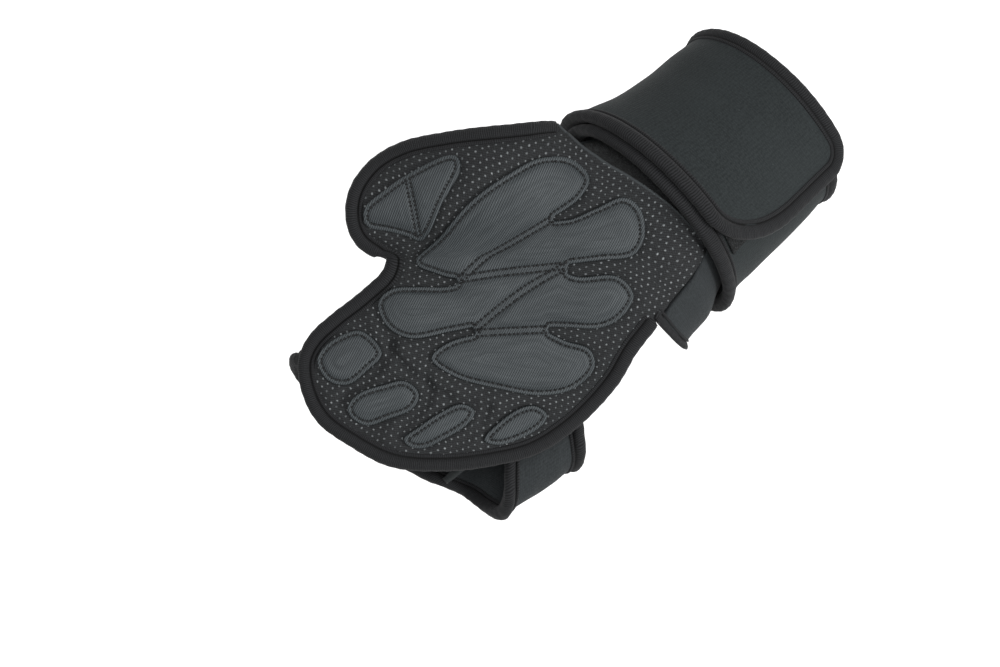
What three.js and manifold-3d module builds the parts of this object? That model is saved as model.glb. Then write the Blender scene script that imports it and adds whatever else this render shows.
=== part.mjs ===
// A right-hand weightlifting glove, palm up: a padded palm with grip patches, open at the back,
// a band behind the fingers, a loop behind the thumb and a long wrist wrap.
// Millimetres. +X is the thumb side, +Y points to the fingers, +Z out of the palm.
// The origin is the middle of the wrist opening, where the hand meets the wrap.

import * as THREE from 'three';
import Module from 'manifold-3d';
import { ConvexHull } from 'three/addons/math/ConvexHull.js';
import { TessellateModifier } from 'three/addons/modifiers/TessellateModifier.js';
import { mergeVertices } from 'three/addons/utils/BufferGeometryUtils.js';

// Driving sizes of the hand that the glove is cut for
const palmLength = 116;
const palmBreadth = 72;
const palmRise = 21;
const thumbRise = 22;
const fingerDepth = 17;
const thumbDepth = 11;
const wristBreadth = 46.5;
const wristDepth = 31;
const wristTilt = 22;
const wristBend = 24;

// Thicknesses of the cloths
const palmThickness = 2.4;
const gripThickness = 1.7;
const gripSeamThickness = 0.8;
const padThickness = 1.5;
const cuffThickness = 2;
const bandThickness = 2;
const strapThickness = 2;
const loopClothThickness = 1.1;
const dividerThickness = 2.2;

// Edge binding: how far it reaches in over the cloth, its own wall and its clearance to the cloth
const bindingReach = 3.8;
const bindingWall = 0.65;
const clearance = 0.42;

// The wrist strap
const strapWidth = 52;
const strapStart = 198;
const strapEnd = 765;
const strapNearReach = 14.5;
const strapNearDraw = 26;
const strapFarCorner = 8;
const strapDip = 0.45;
const strapNearEdge = 1.8;
const strapShift = 2;

const TURN = Math.PI / 180;

// Colours and finishes of the cloths
const KNIT = { color: 0x1c1d1e, roughness: 0.85, metalness: 0 };
const RIB = { color: 0x202022, roughness: 0.9, metalness: 0 };
const GRIP = { color: 0x44494c, roughness: 0.7, metalness: 0 };
const NEOPRENE = { color: 0x2c3233, roughness: 0.9, metalness: 0 };
const LOOP_CLOTH = { color: 0x141415, roughness: 1, metalness: 0 };

// The value of one column of a table at a place between its rows, on a smooth curve
function column(rows, name, at) {
  const last = rows.length - 2;
  let i = 0;
  while (i < last && rows[i + 1].at < at) i += 1;
  const [a, b] = [rows[i], rows[i + 1]];
  const before = rows[Math.max(i - 1, 0)];
  const after = rows[Math.min(i + 2, rows.length - 1)];
  const span = b.at - a.at;
  const f = THREE.MathUtils.clamp((at - a.at) / span, 0, 1);
  const slopeA = (b[name] - before[name]) / (b.at - before.at);
  const slopeB = (after[name] - a[name]) / (after.at - a.at);
  const rise = b[name] - a[name];
  const bend = f * (1 - f);
  return a[name] + rise * (3 - 2 * f) * f * f
    + span * bend * ((1 - f) * slopeA - f * slopeB);
}

function smoothStep(t) {
  const f = THREE.MathUtils.clamp(t, 0, 1);
  return f * f * (3 - 2 * f);
}

// The larger of two heights, with the valley between them rounded over a width
function roundedMax(a, b, width) {
  const f = THREE.MathUtils.clamp(0.5 + (a - b) / (2 * width), 0, 1);
  return b + (a - b) * f + width * f * (1 - f);
}

// The wrist and cuff: a bent tube. at is the way along it as a share of the strap's width, the sides
// are shares of the wrist's breadth, front and back are shares of its depth.
const WRIST = [
  { at: -1, radial: 0.475, ulnar: 0.494, front: 0.494, back: 0.456 },
  { at: -0.76, radial: 0.48, ulnar: 0.51, front: 0.5, back: 0.465 },
  { at: -0.53, radial: 0.484, ulnar: 0.526, front: 0.509, back: 0.47 },
  { at: -0.28, radial: 0.516, ulnar: 0.535, front: 0.53, back: 0.476 },
  { at: -0.11, radial: 0.576, ulnar: 0.543, front: 0.553, back: 0.485 },
  { at: 0.04, radial: 0.632, ulnar: 0.595, front: 0.6, back: 0.51 },
  { at: 0.15, radial: 0.774, ulnar: 0.665, front: 0.665, back: 0.535 },
  { at: 0.3, radial: 0.882, ulnar: 0.684, front: 0.696, back: 0.515 },
  { at: 0.53, radial: 0.946, ulnar: 0.753, front: 0.71, back: 0.5 },
];

function wristSize(name, s) {
  const whole = name === 'radial' || name === 'ulnar' ? wristBreadth : wristDepth;
  return whole * column(WRIST, name, s / strapWidth);
}

// The tube's middle line: straight and tilted down along the forearm, bent level under the palm
function wristAxis(s) {
  const tilt = wristTilt * TURN;
  const bent = THREE.MathUtils.clamp(s, 0, wristBend);
  const angle = tilt * (1 - bent / wristBend);
  const radius = wristBend / tilt;
  const y = radius * (Math.sin(tilt) - Math.sin(angle));
  const z = radius * (Math.cos(angle) - Math.cos(tilt));
  const behind = Math.min(s, 0);
  const beyond = Math.max(s - wristBend, 0);
  return { y: y + behind * Math.cos(tilt) + beyond, z: z + behind * Math.sin(tilt), angle };
}

// A point of the cuff: turn is 0 at the front and 90 at the little-finger side, s is the way along
// and h the height over the cuff's inner face
function onWrist(turn, s, h) {
  const round = turn * TURN;
  const side = wristSize(Math.sin(round) > 0 ? 'ulnar' : 'radial', s) + h;
  const rise = wristSize(Math.cos(round) > 0 ? 'front' : 'back', s) + h;
  const axis = wristAxis(s);
  const up = rise * Math.cos(round);
  return new THREE.Vector3(
    -side * Math.sin(round),
    axis.y - up * Math.sin(axis.angle),
    axis.z + up * Math.cos(axis.angle),
  );
}

// Where the front of the cuff lies under a point of the plan: its turn, its way along and its height
const widestShare = 0.97;
function wristUnder(x, y) {
  let s = y + wristDepth / 5;
  let up = 0;
  let share = 0;
  for (let i = 0; i < 12; i += 1) {
    const side = wristSize(x < 0 ? 'ulnar' : 'radial', s);
    share = Math.min(Math.abs(x) / side, widestShare);
    up = wristSize('front', s) * Math.sqrt(1 - share * share);
    const axis = wristAxis(s);
    s += 0.8 * (y - (axis.y - up * Math.sin(axis.angle)));
  }
  const axis = wristAxis(s);
  const turn = -Math.sign(x) * Math.asin(share) / TURN;
  return { turn, s, z: axis.z + up * Math.cos(axis.angle) };
}

// The palm: an arch across the hand. at is the way along the palm, middle and half are shares of its
// breadth, crest is a share of its rise.
const ARCH = [
  { at: -0.07, middle: 0.042, half: 0.5, crest: 0.857 },
  { at: 0, middle: 0.049, half: 0.528, crest: 0.952 },
  { at: 0.103, middle: 0.056, half: 0.569, crest: 1.024 },
  { at: 0.224, middle: 0.042, half: 0.597, crest: 1 },
  { at: 0.388, middle: 0.028, half: 0.611, crest: 0.881 },
  { at: 0.56, middle: 0.028, half: 0.625, crest: 0.786 },
  { at: 0.733, middle: 0.042, half: 0.639, crest: 0.738 },
  { at: 0.862, middle: 0.056, half: 0.653, crest: 0.667 },
  { at: 1.034, middle: 0.111, half: 0.667, crest: 0.5 },
];
const archSharpness = 2.2;
const archEdgeShare = 0.985;

function archHeight(x, y) {
  const at = y / palmLength;
  const middle = palmBreadth * column(ARCH, 'middle', at);
  const half = palmBreadth * column(ARCH, 'half', at);
  const share = Math.min(Math.abs(x - middle) / half, archEdgeShare);
  return palmRise * column(ARCH, 'crest', at) * Math.sqrt(1 - share ** archSharpness);
}

// The ball of the thumb: a ridge from the wrist to the thumb's end. crest and curve, the radius
// across it, are shares of the thumb's rise.
const THUMB_ROOT = { x: 0.306, y: 0.052 };
const THUMB_END = { x: 0.868, y: 0.586 };
const THUMB = [
  { at: 0, crest: 0.864, curve: 0.909 },
  { at: 0.35, crest: 1.045, curve: 0.864 },
  { at: 0.65, crest: 0.886, curve: 0.705 },
  { at: 0.85, crest: 0.705, curve: 0.568 },
  { at: 1, crest: 0.568, curve: 0.523 },
];

function thumbHeight(x, y) {
  const from = new THREE.Vector2(THUMB_ROOT.x * palmBreadth, THUMB_ROOT.y * palmLength);
  const way = new THREE.Vector2(THUMB_END.x * palmBreadth, THUMB_END.y * palmLength).sub(from);
  const here = new THREE.Vector2(x, y).sub(from);
  const at = here.dot(way) / way.lengthSq();
  const across = here.cross(way) / way.length();
  const on = THREE.MathUtils.clamp(at, 0, 1);
  const crest = thumbRise * column(THUMB, 'crest', on);
  const curve = thumbRise * column(THUMB, 'curve', on);
  const fall = Math.max(-at, 0) * way.length();
  return crest - across * across / (2 * curve) - fall;
}

// Height of the palm's inner face over the plan: the cuff's front running into the palm
const valleyWidth = 6;
const blendStart = -0.035;
const blendLength = 0.155;
function palmHeight(x, y) {
  const hand = roundedMax(archHeight(x, y), thumbHeight(x, y), valleyWidth);
  const share = smoothStep((y / palmLength - blendStart) / blendLength);
  return (1 - share) * (wristUnder(x, y).z + clearance) + share * hand;
}

// A point h over the palm's inner face, square to it
const slopeStep = 0.5;
function onPalm(x, y, h) {
  const z = palmHeight(x, y);
  const slopeX = (palmHeight(x + slopeStep, y) - palmHeight(x - slopeStep, y)) / (2 * slopeStep);
  const slopeY = (palmHeight(x, y + slopeStep) - palmHeight(x, y - slopeStep)) / (2 * slopeStep);
  const square = new THREE.Vector3(-slopeX, -slopeY, 1).normalize();
  return new THREE.Vector3(x, y, z).addScaledVector(square, h);
}

// Solids

const wasm = await Module();
wasm.setup();

function solidOf(geometry) {
  const merged = mergeVertices(geometry);
  return new wasm.Manifold(new wasm.Mesh({
    numProp: 3,
    vertProperties: new Float32Array(merged.attributes.position.array),
    triVerts: new Uint32Array(merged.index.array),
  }));
}

function geometryOf(solid) {
  const mesh = solid.getMesh();
  const geometry = new THREE.BufferGeometry();
  geometry.setAttribute('position', new THREE.BufferAttribute(new Float32Array(mesh.vertProperties), 3));
  geometry.setIndex(new THREE.BufferAttribute(new Uint32Array(mesh.triVerts), 1));
  return geometry;
}

function insideOutline(point, outline) {
  let inside = false;
  outline.forEach((a, i) => {
    const b = outline[(i + 1) % outline.length];
    if ((a.y > point.y) === (b.y > point.y)) return;
    if (point.x < a.x + (point.y - a.y) * (b.x - a.x) / (b.y - a.y)) inside = !inside;
  });
  return inside;
}

// Well-shaped triangles through points of the plan: the lower hull of the points raised to a bowl
const bowlRadius = 200;
const patchGrid = 6;
function triangles(points) {
  const raised = points.map((point) => new THREE.Vector3(point.x, point.y, point.lengthSq() / bowlRadius));
  const number = new Map(raised.map((point, i) => [point, i]));
  const hull = new ConvexHull().setFromPoints(raised);
  return hull.faces.filter((face) => face.normal.z < 0).map((face) => [0, 1, 2]
    .map((k) => number.get(face.getEdge(k).head().point)));
}

// A line moved in over the cloth that lies on its left
function movedIn(line, distance, closed = false) {
  const last = line.length - 1;
  return line.map((point, i) => {
    const ahead = line[closed ? (i + 1) % line.length : Math.min(i + 1, last)];
    const behind = line[closed ? (i + last) % line.length : Math.max(i - 1, 0)];
    const way = ahead.clone().sub(behind).normalize();
    return new THREE.Vector2(point.x - way.y * distance, point.y + way.x * distance);
  });
}

// Points of a regular triangle grid inside an outline, clear of the points that are there already
function gridInside(outline, others, step) {
  const box = new THREE.Box2().setFromPoints(outline);
  const rowStep = step * Math.sqrt(3) / 2;
  const points = [];
  for (let row = 1; box.min.y + row * rowStep < box.max.y; row += 1) {
    const offset = row % 2 ? step / 2 : step;
    for (let x = box.min.x + offset; x < box.max.x; x += step) {
      const point = new THREE.Vector2(x, box.min.y + row * rowStep);
      const near = others.some((other) => other.distanceTo(point) < step * 0.7);
      if (!near && insideOutline(point, outline)) points.push(point);
    }
  }
  return points;
}

// A sheet of cloth of an outline, laid on a curved face: a rim of the inset's width, and a regular
// grid inside it. The upper edge is lowered by the drop.
function sheet(outline, inset, step, thickness, place, drop = 0) {
  const rim = movedIn(outline, inset, true);
  const inner = [...rim, ...gridInside(rim, rim, step)];
  const points = [...outline, ...inner];
  const lower = [];
  for (const corners of triangles(inner)) {
    const middle = corners.reduce((sum, k) => sum.add(inner[k]), new THREE.Vector2()).divideScalar(3);
    if (insideOutline(middle, rim)) lower.push(corners.map((k) => k + outline.length));
  }
  const faces = [];
  outline.forEach((point, a) => {
    const b = (a + 1) % outline.length;
    const [c, d] = [a + outline.length, b + outline.length];
    lower.push([a, c, b], [b, c, d]);
    faces.push(a, b, b + points.length, a, b + points.length, a + points.length);
  });
  for (const [a, b, c] of lower) faces.push(a, b, c, a + points.length, c + points.length, b + points.length);
  const geometry = new THREE.BufferGeometry().setFromPoints([
    ...points.map((point) => place(point.x, point.y, 0)),
    ...points.map((point, i) => place(point.x, point.y, thickness - (i < outline.length ? drop : 0))),
  ]);
  geometry.setIndex(faces);
  return outward(geometry);
}

// A flat sheet with a puffed upper face, for joining with others before it is laid
function flatSheet(outline, thickness, puff) {
  const left = THREE.ShapeUtils.isClockWise(outline) ? [...outline].reverse() : outline;
  const flat = (x, y, h) => new THREE.Vector3(x, y, h);
  return solidOf(sheet(left, puff * 1.3, patchGrid, thickness, flat, puff));
}

// The sheet with its faces split to short edges and laid on a curved face
function laid(solid, longest, place) {
  const flat = geometryOf(solid).toNonIndexed();
  const split = mergeVertices(new TessellateModifier(longest, 12).modify(flat));
  const position = split.attributes.position;
  const point = new THREE.Vector3();
  for (let i = 0; i < position.count; i += 1) {
    point.fromBufferAttribute(position, i);
    position.setXYZ(i, ...place(point.x, point.y, point.z).toArray());
  }
  return split;
}

function meshOfRings(rings, closedFaces) {
  const points = rings.flat();
  const geometry = new THREE.BufferGeometry().setFromPoints(points);
  const faces = [];
  const round = rings[0].length;
  for (let i = 0; i + 1 < rings.length; i += 1) {
    for (let j = 0; j < round; j += 1) {
      const [a, b] = [i * round + j, i * round + (j + 1) % round];
      faces.push(a, b, b + round, a, b + round, a + round);
    }
  }
  const end = (rings.length - 1) * round;
  for (const [a, b, c] of closedFaces) faces.push(a, c, b, end + a, end + b, end + c);
  geometry.setIndex(faces);
  return geometry;
}

// Every face turned outwards
function outward(geometry) {
  const position = geometry.attributes.position;
  const index = geometry.index.array;
  const [a, b, c] = [new THREE.Vector3(), new THREE.Vector3(), new THREE.Vector3()];
  let volume = 0;
  for (let i = 0; i < index.length; i += 3) {
    a.fromBufferAttribute(position, index[i]);
    b.fromBufferAttribute(position, index[i + 1]);
    c.fromBufferAttribute(position, index[i + 2]);
    volume += a.dot(b.cross(c));
  }
  if (volume < 0) {
    for (let i = 0; i < index.length; i += 3) [index[i], index[i + 1]] = [index[i + 1], index[i]];
  }
  return geometry;
}

// A section carried along a row of stations: place gives each of its points, and the caps are the
// faces that close its two ends
function swept(count, section, caps, place) {
  const rings = [];
  for (let i = 0; i < count; i += 1) rings.push(section.map((corner) => place(i, corner.x, corner.y)));
  return outward(meshOfRings(rings, caps));
}

// A strip of cloth: stations along it, numbered lines across it, a lower and an upper face
function strip(count, rows, thickness, place) {
  const section = [];
  for (let j = 0; j <= rows; j += 1) section.push(new THREE.Vector2(j, 0));
  for (let j = rows; j >= 0; j -= 1) section.push(new THREE.Vector2(j, thickness));
  const caps = [];
  for (let j = 0; j < rows; j += 1) {
    const [low, high] = [j, 2 * rows + 1 - j];
    caps.push([low, low + 1, high - 1], [low, high - 1, high]);
  }
  return swept(count, section, caps, place);
}

// The binding's section: a channel that holds the cloth's edge. x runs in over the cloth, y is the
// height over its lower face.
function bindingSection(thickness) {
  const over = thickness + clearance;
  const roll = clearance + bindingWall * 1.4;
  return [
    [bindingReach, over + bindingWall * 0.7],
    [1, over + bindingWall],
    [-roll, thickness * 0.8],
    [-roll, thickness * 0.2],
    [1, -clearance - bindingWall],
    [bindingReach, -clearance - bindingWall * 0.7],
    [bindingReach, -clearance],
    [-clearance, -clearance],
    [-clearance, over],
    [bindingReach, over],
  ].map(([x, y]) => new THREE.Vector2(x, y));
}

const BINDING_CAPS = [
  [0, 1, 8], [0, 8, 9], [1, 2, 8], [2, 3, 7], [2, 7, 8], [3, 4, 7], [4, 5, 6], [4, 6, 7],
];

// Binding along a row of flat points of a cloth's edge, with the cloth on their left
function boundEdge(path, thickness, place) {
  const inward = movedIn(path, 1).map((point, i) => point.sub(path[i]));
  return swept(path.length, bindingSection(thickness), BINDING_CAPS, (i, x, y) => {
    const point = path[i].clone().addScaledVector(inward[i], x);
    return place(point.x, point.y, y);
  });
}

const glove = new THREE.Group();

function add(name, geometry, finish) {
  const mesh = new THREE.Mesh(geometry, new THREE.MeshStandardMaterial(finish));
  mesh.name = name;
  glove.add(mesh);
}

// A point of the plan from shares of the palm's breadth and length
function plan(row) {
  return new THREE.Vector2(row.x * palmBreadth, row.y * palmLength);
}

// A smooth line through planned points, with a number of steps between each two
function smoothLine(rows, steps) {
  const points = rows.map((row) => new THREE.Vector3(row.x * palmBreadth, row.y * palmLength, 0));
  const curve = new THREE.CatmullRomCurve3(points, false, 'centripetal');
  return curve.getPoints(steps * (rows.length - 1)).map((point) => new THREE.Vector2(point.x, point.y));
}

// Palm

// The palm's free edge, from the wrist round the thumb, the web, the fingers and the heel
const PALM_EDGE = [
  { x: 0.545, y: 0.05 },
  { x: 0.66, y: 0.155 },
  { x: 0.787, y: 0.268 },
  { x: 0.879, y: 0.371 },
  { x: 0.91, y: 0.46 },
  { x: 0.882, y: 0.543 },
  { x: 0.812, y: 0.592 },
  { x: 0.735, y: 0.607 },
  { x: 0.65, y: 0.595 },
  { x: 0.58, y: 0.583 },
  { x: 0.542, y: 0.612 },
  { x: 0.536, y: 0.7 },
  { x: 0.545, y: 0.79 },
  { x: 0.54, y: 0.87 },
  { x: 0.5, y: 0.925 },
  { x: 0.4, y: 0.967 },
  { x: 0.27, y: 0.985 },
  { x: 0.13, y: 0.966 },
  { x: -0.05, y: 0.92 },
  { x: -0.2, y: 0.83 },
  { x: -0.32, y: 0.72 },
  { x: -0.39, y: 0.63 },
  { x: -0.415, y: 0.53 },
  { x: -0.412, y: 0.44 },
  { x: -0.388, y: 0.35 },
  { x: -0.345, y: 0.27 },
  { x: -0.322, y: 0.2 },
];
// From there the heel's seam and the seam under the wrap, back to the thumb side
const HEEL_SEAM = [
  { x: -0.322, y: 0.2 },
  { x: -0.29, y: 0.121 },
  { x: -0.262, y: 0.032 },
  { x: -0.214, y: -0.039 },
];
const WRIST_SEAM = [
  { x: -0.214, y: -0.039 },
  { x: -0.132, y: -0.036 },
  { x: -0.011, y: -0.03 },
  { x: 0.185, y: 0 },
  { x: 0.311, y: 0.025 },
  { x: 0.429, y: 0.043 },
  { x: 0.545, y: 0.05 },
];

const palmEdge = smoothLine(PALM_EDGE, 2);
const heelSeam = smoothLine(HEEL_SEAM, 2);
const wristSeam = smoothLine(WRIST_SEAM, 2);
const palmOutline = [...palmEdge, ...heelSeam.slice(1), ...wristSeam.slice(1, -1)];
const palmGrid = 6.5;

add('palm_panel', sheet(palmOutline, bindingReach, palmGrid, palmThickness, onPalm), KNIT);
add('palm_binding', boundEdge(palmEdge, palmThickness, onPalm), RIB);

// Grip patches

// A closed smooth outline through planned points, in steps of about the same length
function smoothOutline(rows, step) {
  const points = rows.map((row) => new THREE.Vector3(row.x * palmBreadth, row.y * palmLength, 0));
  const curve = new THREE.CatmullRomCurve3(points, true, 'centripetal');
  const count = Math.round(curve.getLength() / step);
  return curve.getSpacedPoints(count).slice(0, -1).map((point) => new THREE.Vector2(point.x, point.y));
}

// A band of even width along planned points, for a sewn seam sunk between two puffed areas
const seamWidth = 3.8;
function seamBand(rows) {
  const line = smoothLine(rows, 2);
  const right = movedIn(line, -seamWidth / 2);
  const left = movedIn(line, seamWidth / 2);
  return solidOf(strip(line.length, 1, gripSeamThickness, (i, j, h) => {
    const point = j ? left[i] : right[i];
    return new THREE.Vector3(point.x, point.y, h);
  }));
}

const patchStep = 4.4;
const patchSplit = 7.5;
const patchPuff = 0.9;
const overPalm = palmThickness + clearance + 0.2;

// A patch of puffed areas joined by sunken seams, sewn on the palm
function patch(areas, seams) {
  let solid = null;
  for (const rows of areas) {
    const area = flatSheet(smoothOutline(rows, patchStep), gripThickness, patchPuff);
    solid = solid ? solid.add(area) : area;
  }
  for (const rows of seams) solid = solid.add(seamBand(rows));
  return laid(solid, patchSplit, (x, y, h) => onPalm(x, y, overPalm + h));
}

// The lobes of the grip patch, from the thumb side to the little-finger side
const LOBE_BY_THUMB = [
  { x: 0.481, y: 0.542 },
  { x: 0.517, y: 0.505 },
  { x: 0.53, y: 0.443 },
  { x: 0.542, y: 0.332 },
  { x: 0.519, y: 0.221 },
  { x: 0.48, y: 0.136 },
  { x: 0.393, y: 0.082 },
  { x: 0.287, y: 0.073 },
  { x: 0.259, y: 0.122 },
  { x: 0.276, y: 0.203 },
  { x: 0.297, y: 0.267 },
  { x: 0.323, y: 0.354 },
  { x: 0.332, y: 0.433 },
  { x: 0.335, y: 0.485 },
  { x: 0.414, y: 0.523 },
];
const LOBE_SECOND = [
  { x: 0.312, y: 0.453 },
  { x: 0.308, y: 0.362 },
  { x: 0.28, y: 0.267 },
  { x: 0.255, y: 0.203 },
  { x: 0.216, y: 0.171 },
  { x: 0.178, y: 0.099 },
  { x: 0.14, y: 0.039 },
  { x: 0.057, y: 0.028 },
  { x: -0.036, y: 0.065 },
  { x: -0.055, y: 0.118 },
  { x: 0.016, y: 0.186 },
  { x: 0.085, y: 0.249 },
  { x: 0.156, y: 0.31 },
  { x: 0.249, y: 0.394 },
];
const LOBE_MIDDLE = [
  { x: 0.468, y: 0.68 },
  { x: 0.472, y: 0.631 },
  { x: 0.411, y: 0.576 },
  { x: 0.337, y: 0.521 },
  { x: 0.303, y: 0.482 },
  { x: 0.228, y: 0.405 },
  { x: 0.165, y: 0.336 },
  { x: 0.112, y: 0.301 },
  { x: 0.112, y: 0.345 },
  { x: 0.128, y: 0.392 },
  { x: 0.135, y: 0.455 },
  { x: 0.142, y: 0.525 },
  { x: 0.194, y: 0.591 },
  { x: 0.28, y: 0.679 },
  { x: 0.375, y: 0.702 },
];
const LOBE_FOURTH = [
  { x: 0.116, y: 0.522 },
  { x: 0.12, y: 0.463 },
  { x: 0.11, y: 0.402 },
  { x: 0.099, y: 0.341 },
  { x: 0.08, y: 0.278 },
  { x: 0.02, y: 0.25 },
  { x: -0.078, y: 0.177 },
  { x: -0.176, y: 0.179 },
  { x: -0.209, y: 0.24 },
  { x: -0.187, y: 0.294 },
  { x: -0.096, y: 0.359 },
  { x: -0.027, y: 0.409 },
  { x: 0.044, y: 0.471 },
];
const LOBE_BY_HEEL = [
  { x: 0.163, y: 0.671 },
  { x: 0.169, y: 0.621 },
  { x: 0.126, y: 0.554 },
  { x: 0.029, y: 0.479 },
  { x: -0.055, y: 0.407 },
  { x: -0.136, y: 0.381 },
  { x: -0.225, y: 0.348 },
  { x: -0.291, y: 0.37 },
  { x: -0.3, y: 0.448 },
  { x: -0.236, y: 0.521 },
  { x: -0.112, y: 0.588 },
  { x: 0.045, y: 0.655 },
];
const SEAM_THUMB_SECOND = [
  { x: 0.32, y: 0.483 },
  { x: 0.322, y: 0.388 },
  { x: 0.303, y: 0.298 },
  { x: 0.273, y: 0.204 },
];
const SEAM_SECOND_MIDDLE = [
  { x: 0.329, y: 0.488 },
  { x: 0.241, y: 0.398 },
  { x: 0.151, y: 0.313 },
  { x: 0.083, y: 0.253 },
];
const SEAM_MIDDLE_FOURTH = [
  { x: 0.135, y: 0.536 },
  { x: 0.132, y: 0.457 },
  { x: 0.12, y: 0.363 },
  { x: 0.088, y: 0.26 },
];
const SEAM_FOURTH_HEEL = [
  { x: 0.123, y: 0.542 },
  { x: 0.04, y: 0.473 },
  { x: -0.057, y: 0.395 },
];
add('grip_patch', patch(
  [LOBE_BY_THUMB, LOBE_SECOND, LOBE_MIDDLE, LOBE_FOURTH, LOBE_BY_HEEL],
  [SEAM_THUMB_SECOND, SEAM_SECOND_MIDDLE, SEAM_MIDDLE_FOURTH, SEAM_FOURTH_HEEL],
), GRIP);

// The thumb's patch is one three-cornered area, its seam is a line of stitches
const THUMB_PATCH = [
  { x: 0.778, y: 0.56 },
  { x: 0.806, y: 0.538 },
  { x: 0.797, y: 0.484 },
  { x: 0.776, y: 0.41 },
  { x: 0.722, y: 0.304 },
  { x: 0.695, y: 0.287 },
  { x: 0.663, y: 0.292 },
  { x: 0.642, y: 0.31 },
  { x: 0.608, y: 0.386 },
  { x: 0.567, y: 0.46 },
  { x: 0.57, y: 0.483 },
  { x: 0.607, y: 0.494 },
  { x: 0.681, y: 0.527 },
  { x: 0.748, y: 0.561 },
];
add('thumb_patch', patch([THUMB_PATCH], []), GRIP);

// The pads at the roots of the fingers
const PADS = {
  index_pad: [
    { x: 0.456, y: 0.893 },
    { x: 0.478, y: 0.857 },
    { x: 0.466, y: 0.799 },
    { x: 0.433, y: 0.759 },
    { x: 0.367, y: 0.747 },
    { x: 0.302, y: 0.755 },
    { x: 0.293, y: 0.807 },
    { x: 0.301, y: 0.871 },
    { x: 0.367, y: 0.903 },
  ],
  middle_pad: [
    { x: 0.239, y: 0.908 },
    { x: 0.249, y: 0.865 },
    { x: 0.208, y: 0.802 },
    { x: 0.164, y: 0.755 },
    { x: 0.088, y: 0.749 },
    { x: 0.058, y: 0.786 },
    { x: 0.094, y: 0.854 },
    { x: 0.129, y: 0.903 },
    { x: 0.2, y: 0.919 },
  ],
  ring_pad: [
    { x: -0.008, y: 0.855 },
    { x: -0.011, y: 0.81 },
    { x: -0.026, y: 0.737 },
    { x: -0.055, y: 0.685 },
    { x: -0.112, y: 0.672 },
    { x: -0.133, y: 0.707 },
    { x: -0.115, y: 0.782 },
    { x: -0.091, y: 0.832 },
    { x: -0.043, y: 0.857 },
  ],
  little_pad: [
    { x: -0.222, y: 0.706 },
    { x: -0.208, y: 0.645 },
    { x: -0.22, y: 0.582 },
    { x: -0.252, y: 0.547 },
    { x: -0.315, y: 0.54 },
    { x: -0.33, y: 0.577 },
    { x: -0.304, y: 0.65 },
    { x: -0.272, y: 0.688 },
  ],
};
for (const [name, rows] of Object.entries(PADS)) {
  const pad = flatSheet(smoothOutline(rows, patchStep), padThickness, patchPuff);
  add(name, laid(pad, patchSplit, (x, y, h) => onPalm(x, y, overPalm + h)), GRIP);
}

// Loop cloth and cuff

// A corner of the wrist's seams, and how far the cloths run in under the strap
const underStrap = -13;
const cuffStart = -84;

// A seam's planned points as places on the cuff, kept clear of the palm panel's edge
function seamOnWrist(rows, steps) {
  return smoothLine(rows, steps).map((point) => {
    const under = wristUnder(point.x, point.y);
    const laidAt = onWrist(under.turn, under.s, 0);
    return { turn: under.turn, s: under.s, shift: onPalm(point.x, point.y, 0).sub(laidAt) };
  });
}

// The loop cloth lies between the palm's seam and the strap, from the thumb side to the heel's corner
const seamPlaces = seamOnWrist([...WRIST_SEAM].reverse(), 2);
const seamGap = 0.5;
const shortFlare = { turn: cuffStart, s: strapNearEdge, shift: new THREE.Vector3() };
const farthestShift = 2;
const loopPlaces = [shortFlare, ...seamPlaces.filter((place) => place.shift.length() < farthestShift)];
const loopRows = 3;
add('loop_panel', strip(loopPlaces.length, loopRows, loopClothThickness, (i, j, h) => {
  const { turn, s, shift } = loopPlaces[i];
  const v = (j / loopRows) ** 2;
  const from = s - seamGap;
  return onWrist(turn, from + (underStrap - from) * v, h).addScaledVector(shift, (1 - v) ** 3);
}), LOOP_CLOTH);

// The cuff runs from the heel's seam round the back of the wrist to the thumb side
const CUFF_SEAM = [{ x: -0.314, y: 0.178 }, ...HEEL_SEAM.slice(1)];
const heelPlaces = seamOnWrist(CUFF_SEAM, 2);
const cornerPlace = heelPlaces[heelPlaces.length - 1];
heelPlaces.push({ turn: cornerPlace.turn, s: underStrap, shift: new THREE.Vector3() });
const hemAtBack = 15;
const hemAtThumb = 6;
const seamTurnGap = 1.4;
const cuffEnd = 360 + cuffStart - seamTurnGap;
const CUFF_STATIONS = [0, 0.05, 0.12, 0.2, 0.3, 0.4, 0.5, 0.6, 0.7, 0.8, 0.9, 1];

// A place on the cuff: u is the share of the way round, v of the way from the hem in under the strap
function onCuff(u, v, h) {
  const along = v * (heelPlaces.length - 1);
  const i = THREE.MathUtils.clamp(Math.floor(along), 0, heelPlaces.length - 2);
  const f = along - i;
  const [a, b] = [heelPlaces[i], heelPlaces[i + 1]];
  const turn = a.turn + (b.turn - a.turn) * f + seamTurnGap;
  const s = a.s + (b.s - a.s) * f;
  const shift = a.shift.clone().lerp(b.shift, f);
  const hem = heelPlaces[0].s;
  const backHem = u < 0.5
    ? hem + (hemAtBack - hem) * smoothStep(u * 2)
    : hemAtBack + (hemAtThumb - hemAtBack) * smoothStep(u * 2 - 1);
  const share = (s - underStrap) / (hem - underStrap);
  const fade = 1 - smoothStep(u * 5);
  return onWrist(turn + (cuffEnd - turn) * u, underStrap + (backHem - underStrap) * share, h)
    .addScaledVector(shift, fade);
}

const cuffRows = heelPlaces.length - 1;
add('back_cuff', strip(CUFF_STATIONS.length, cuffRows, cuffThickness, (i, j, h) => (
  onCuff(CUFF_STATIONS[i], j / cuffRows, h)
)), NEOPRENE);

// The hem holds the cuff's edge; its section runs in from the edge by a share of the cuff's depth
const hemShare = 1 / 36;
add('cuff_hem', swept(CUFF_STATIONS.length, bindingSection(cuffThickness), BINDING_CAPS, (i, x, y) => (
  onCuff(CUFF_STATIONS[i], x * hemShare, y)
)), RIB);

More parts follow.
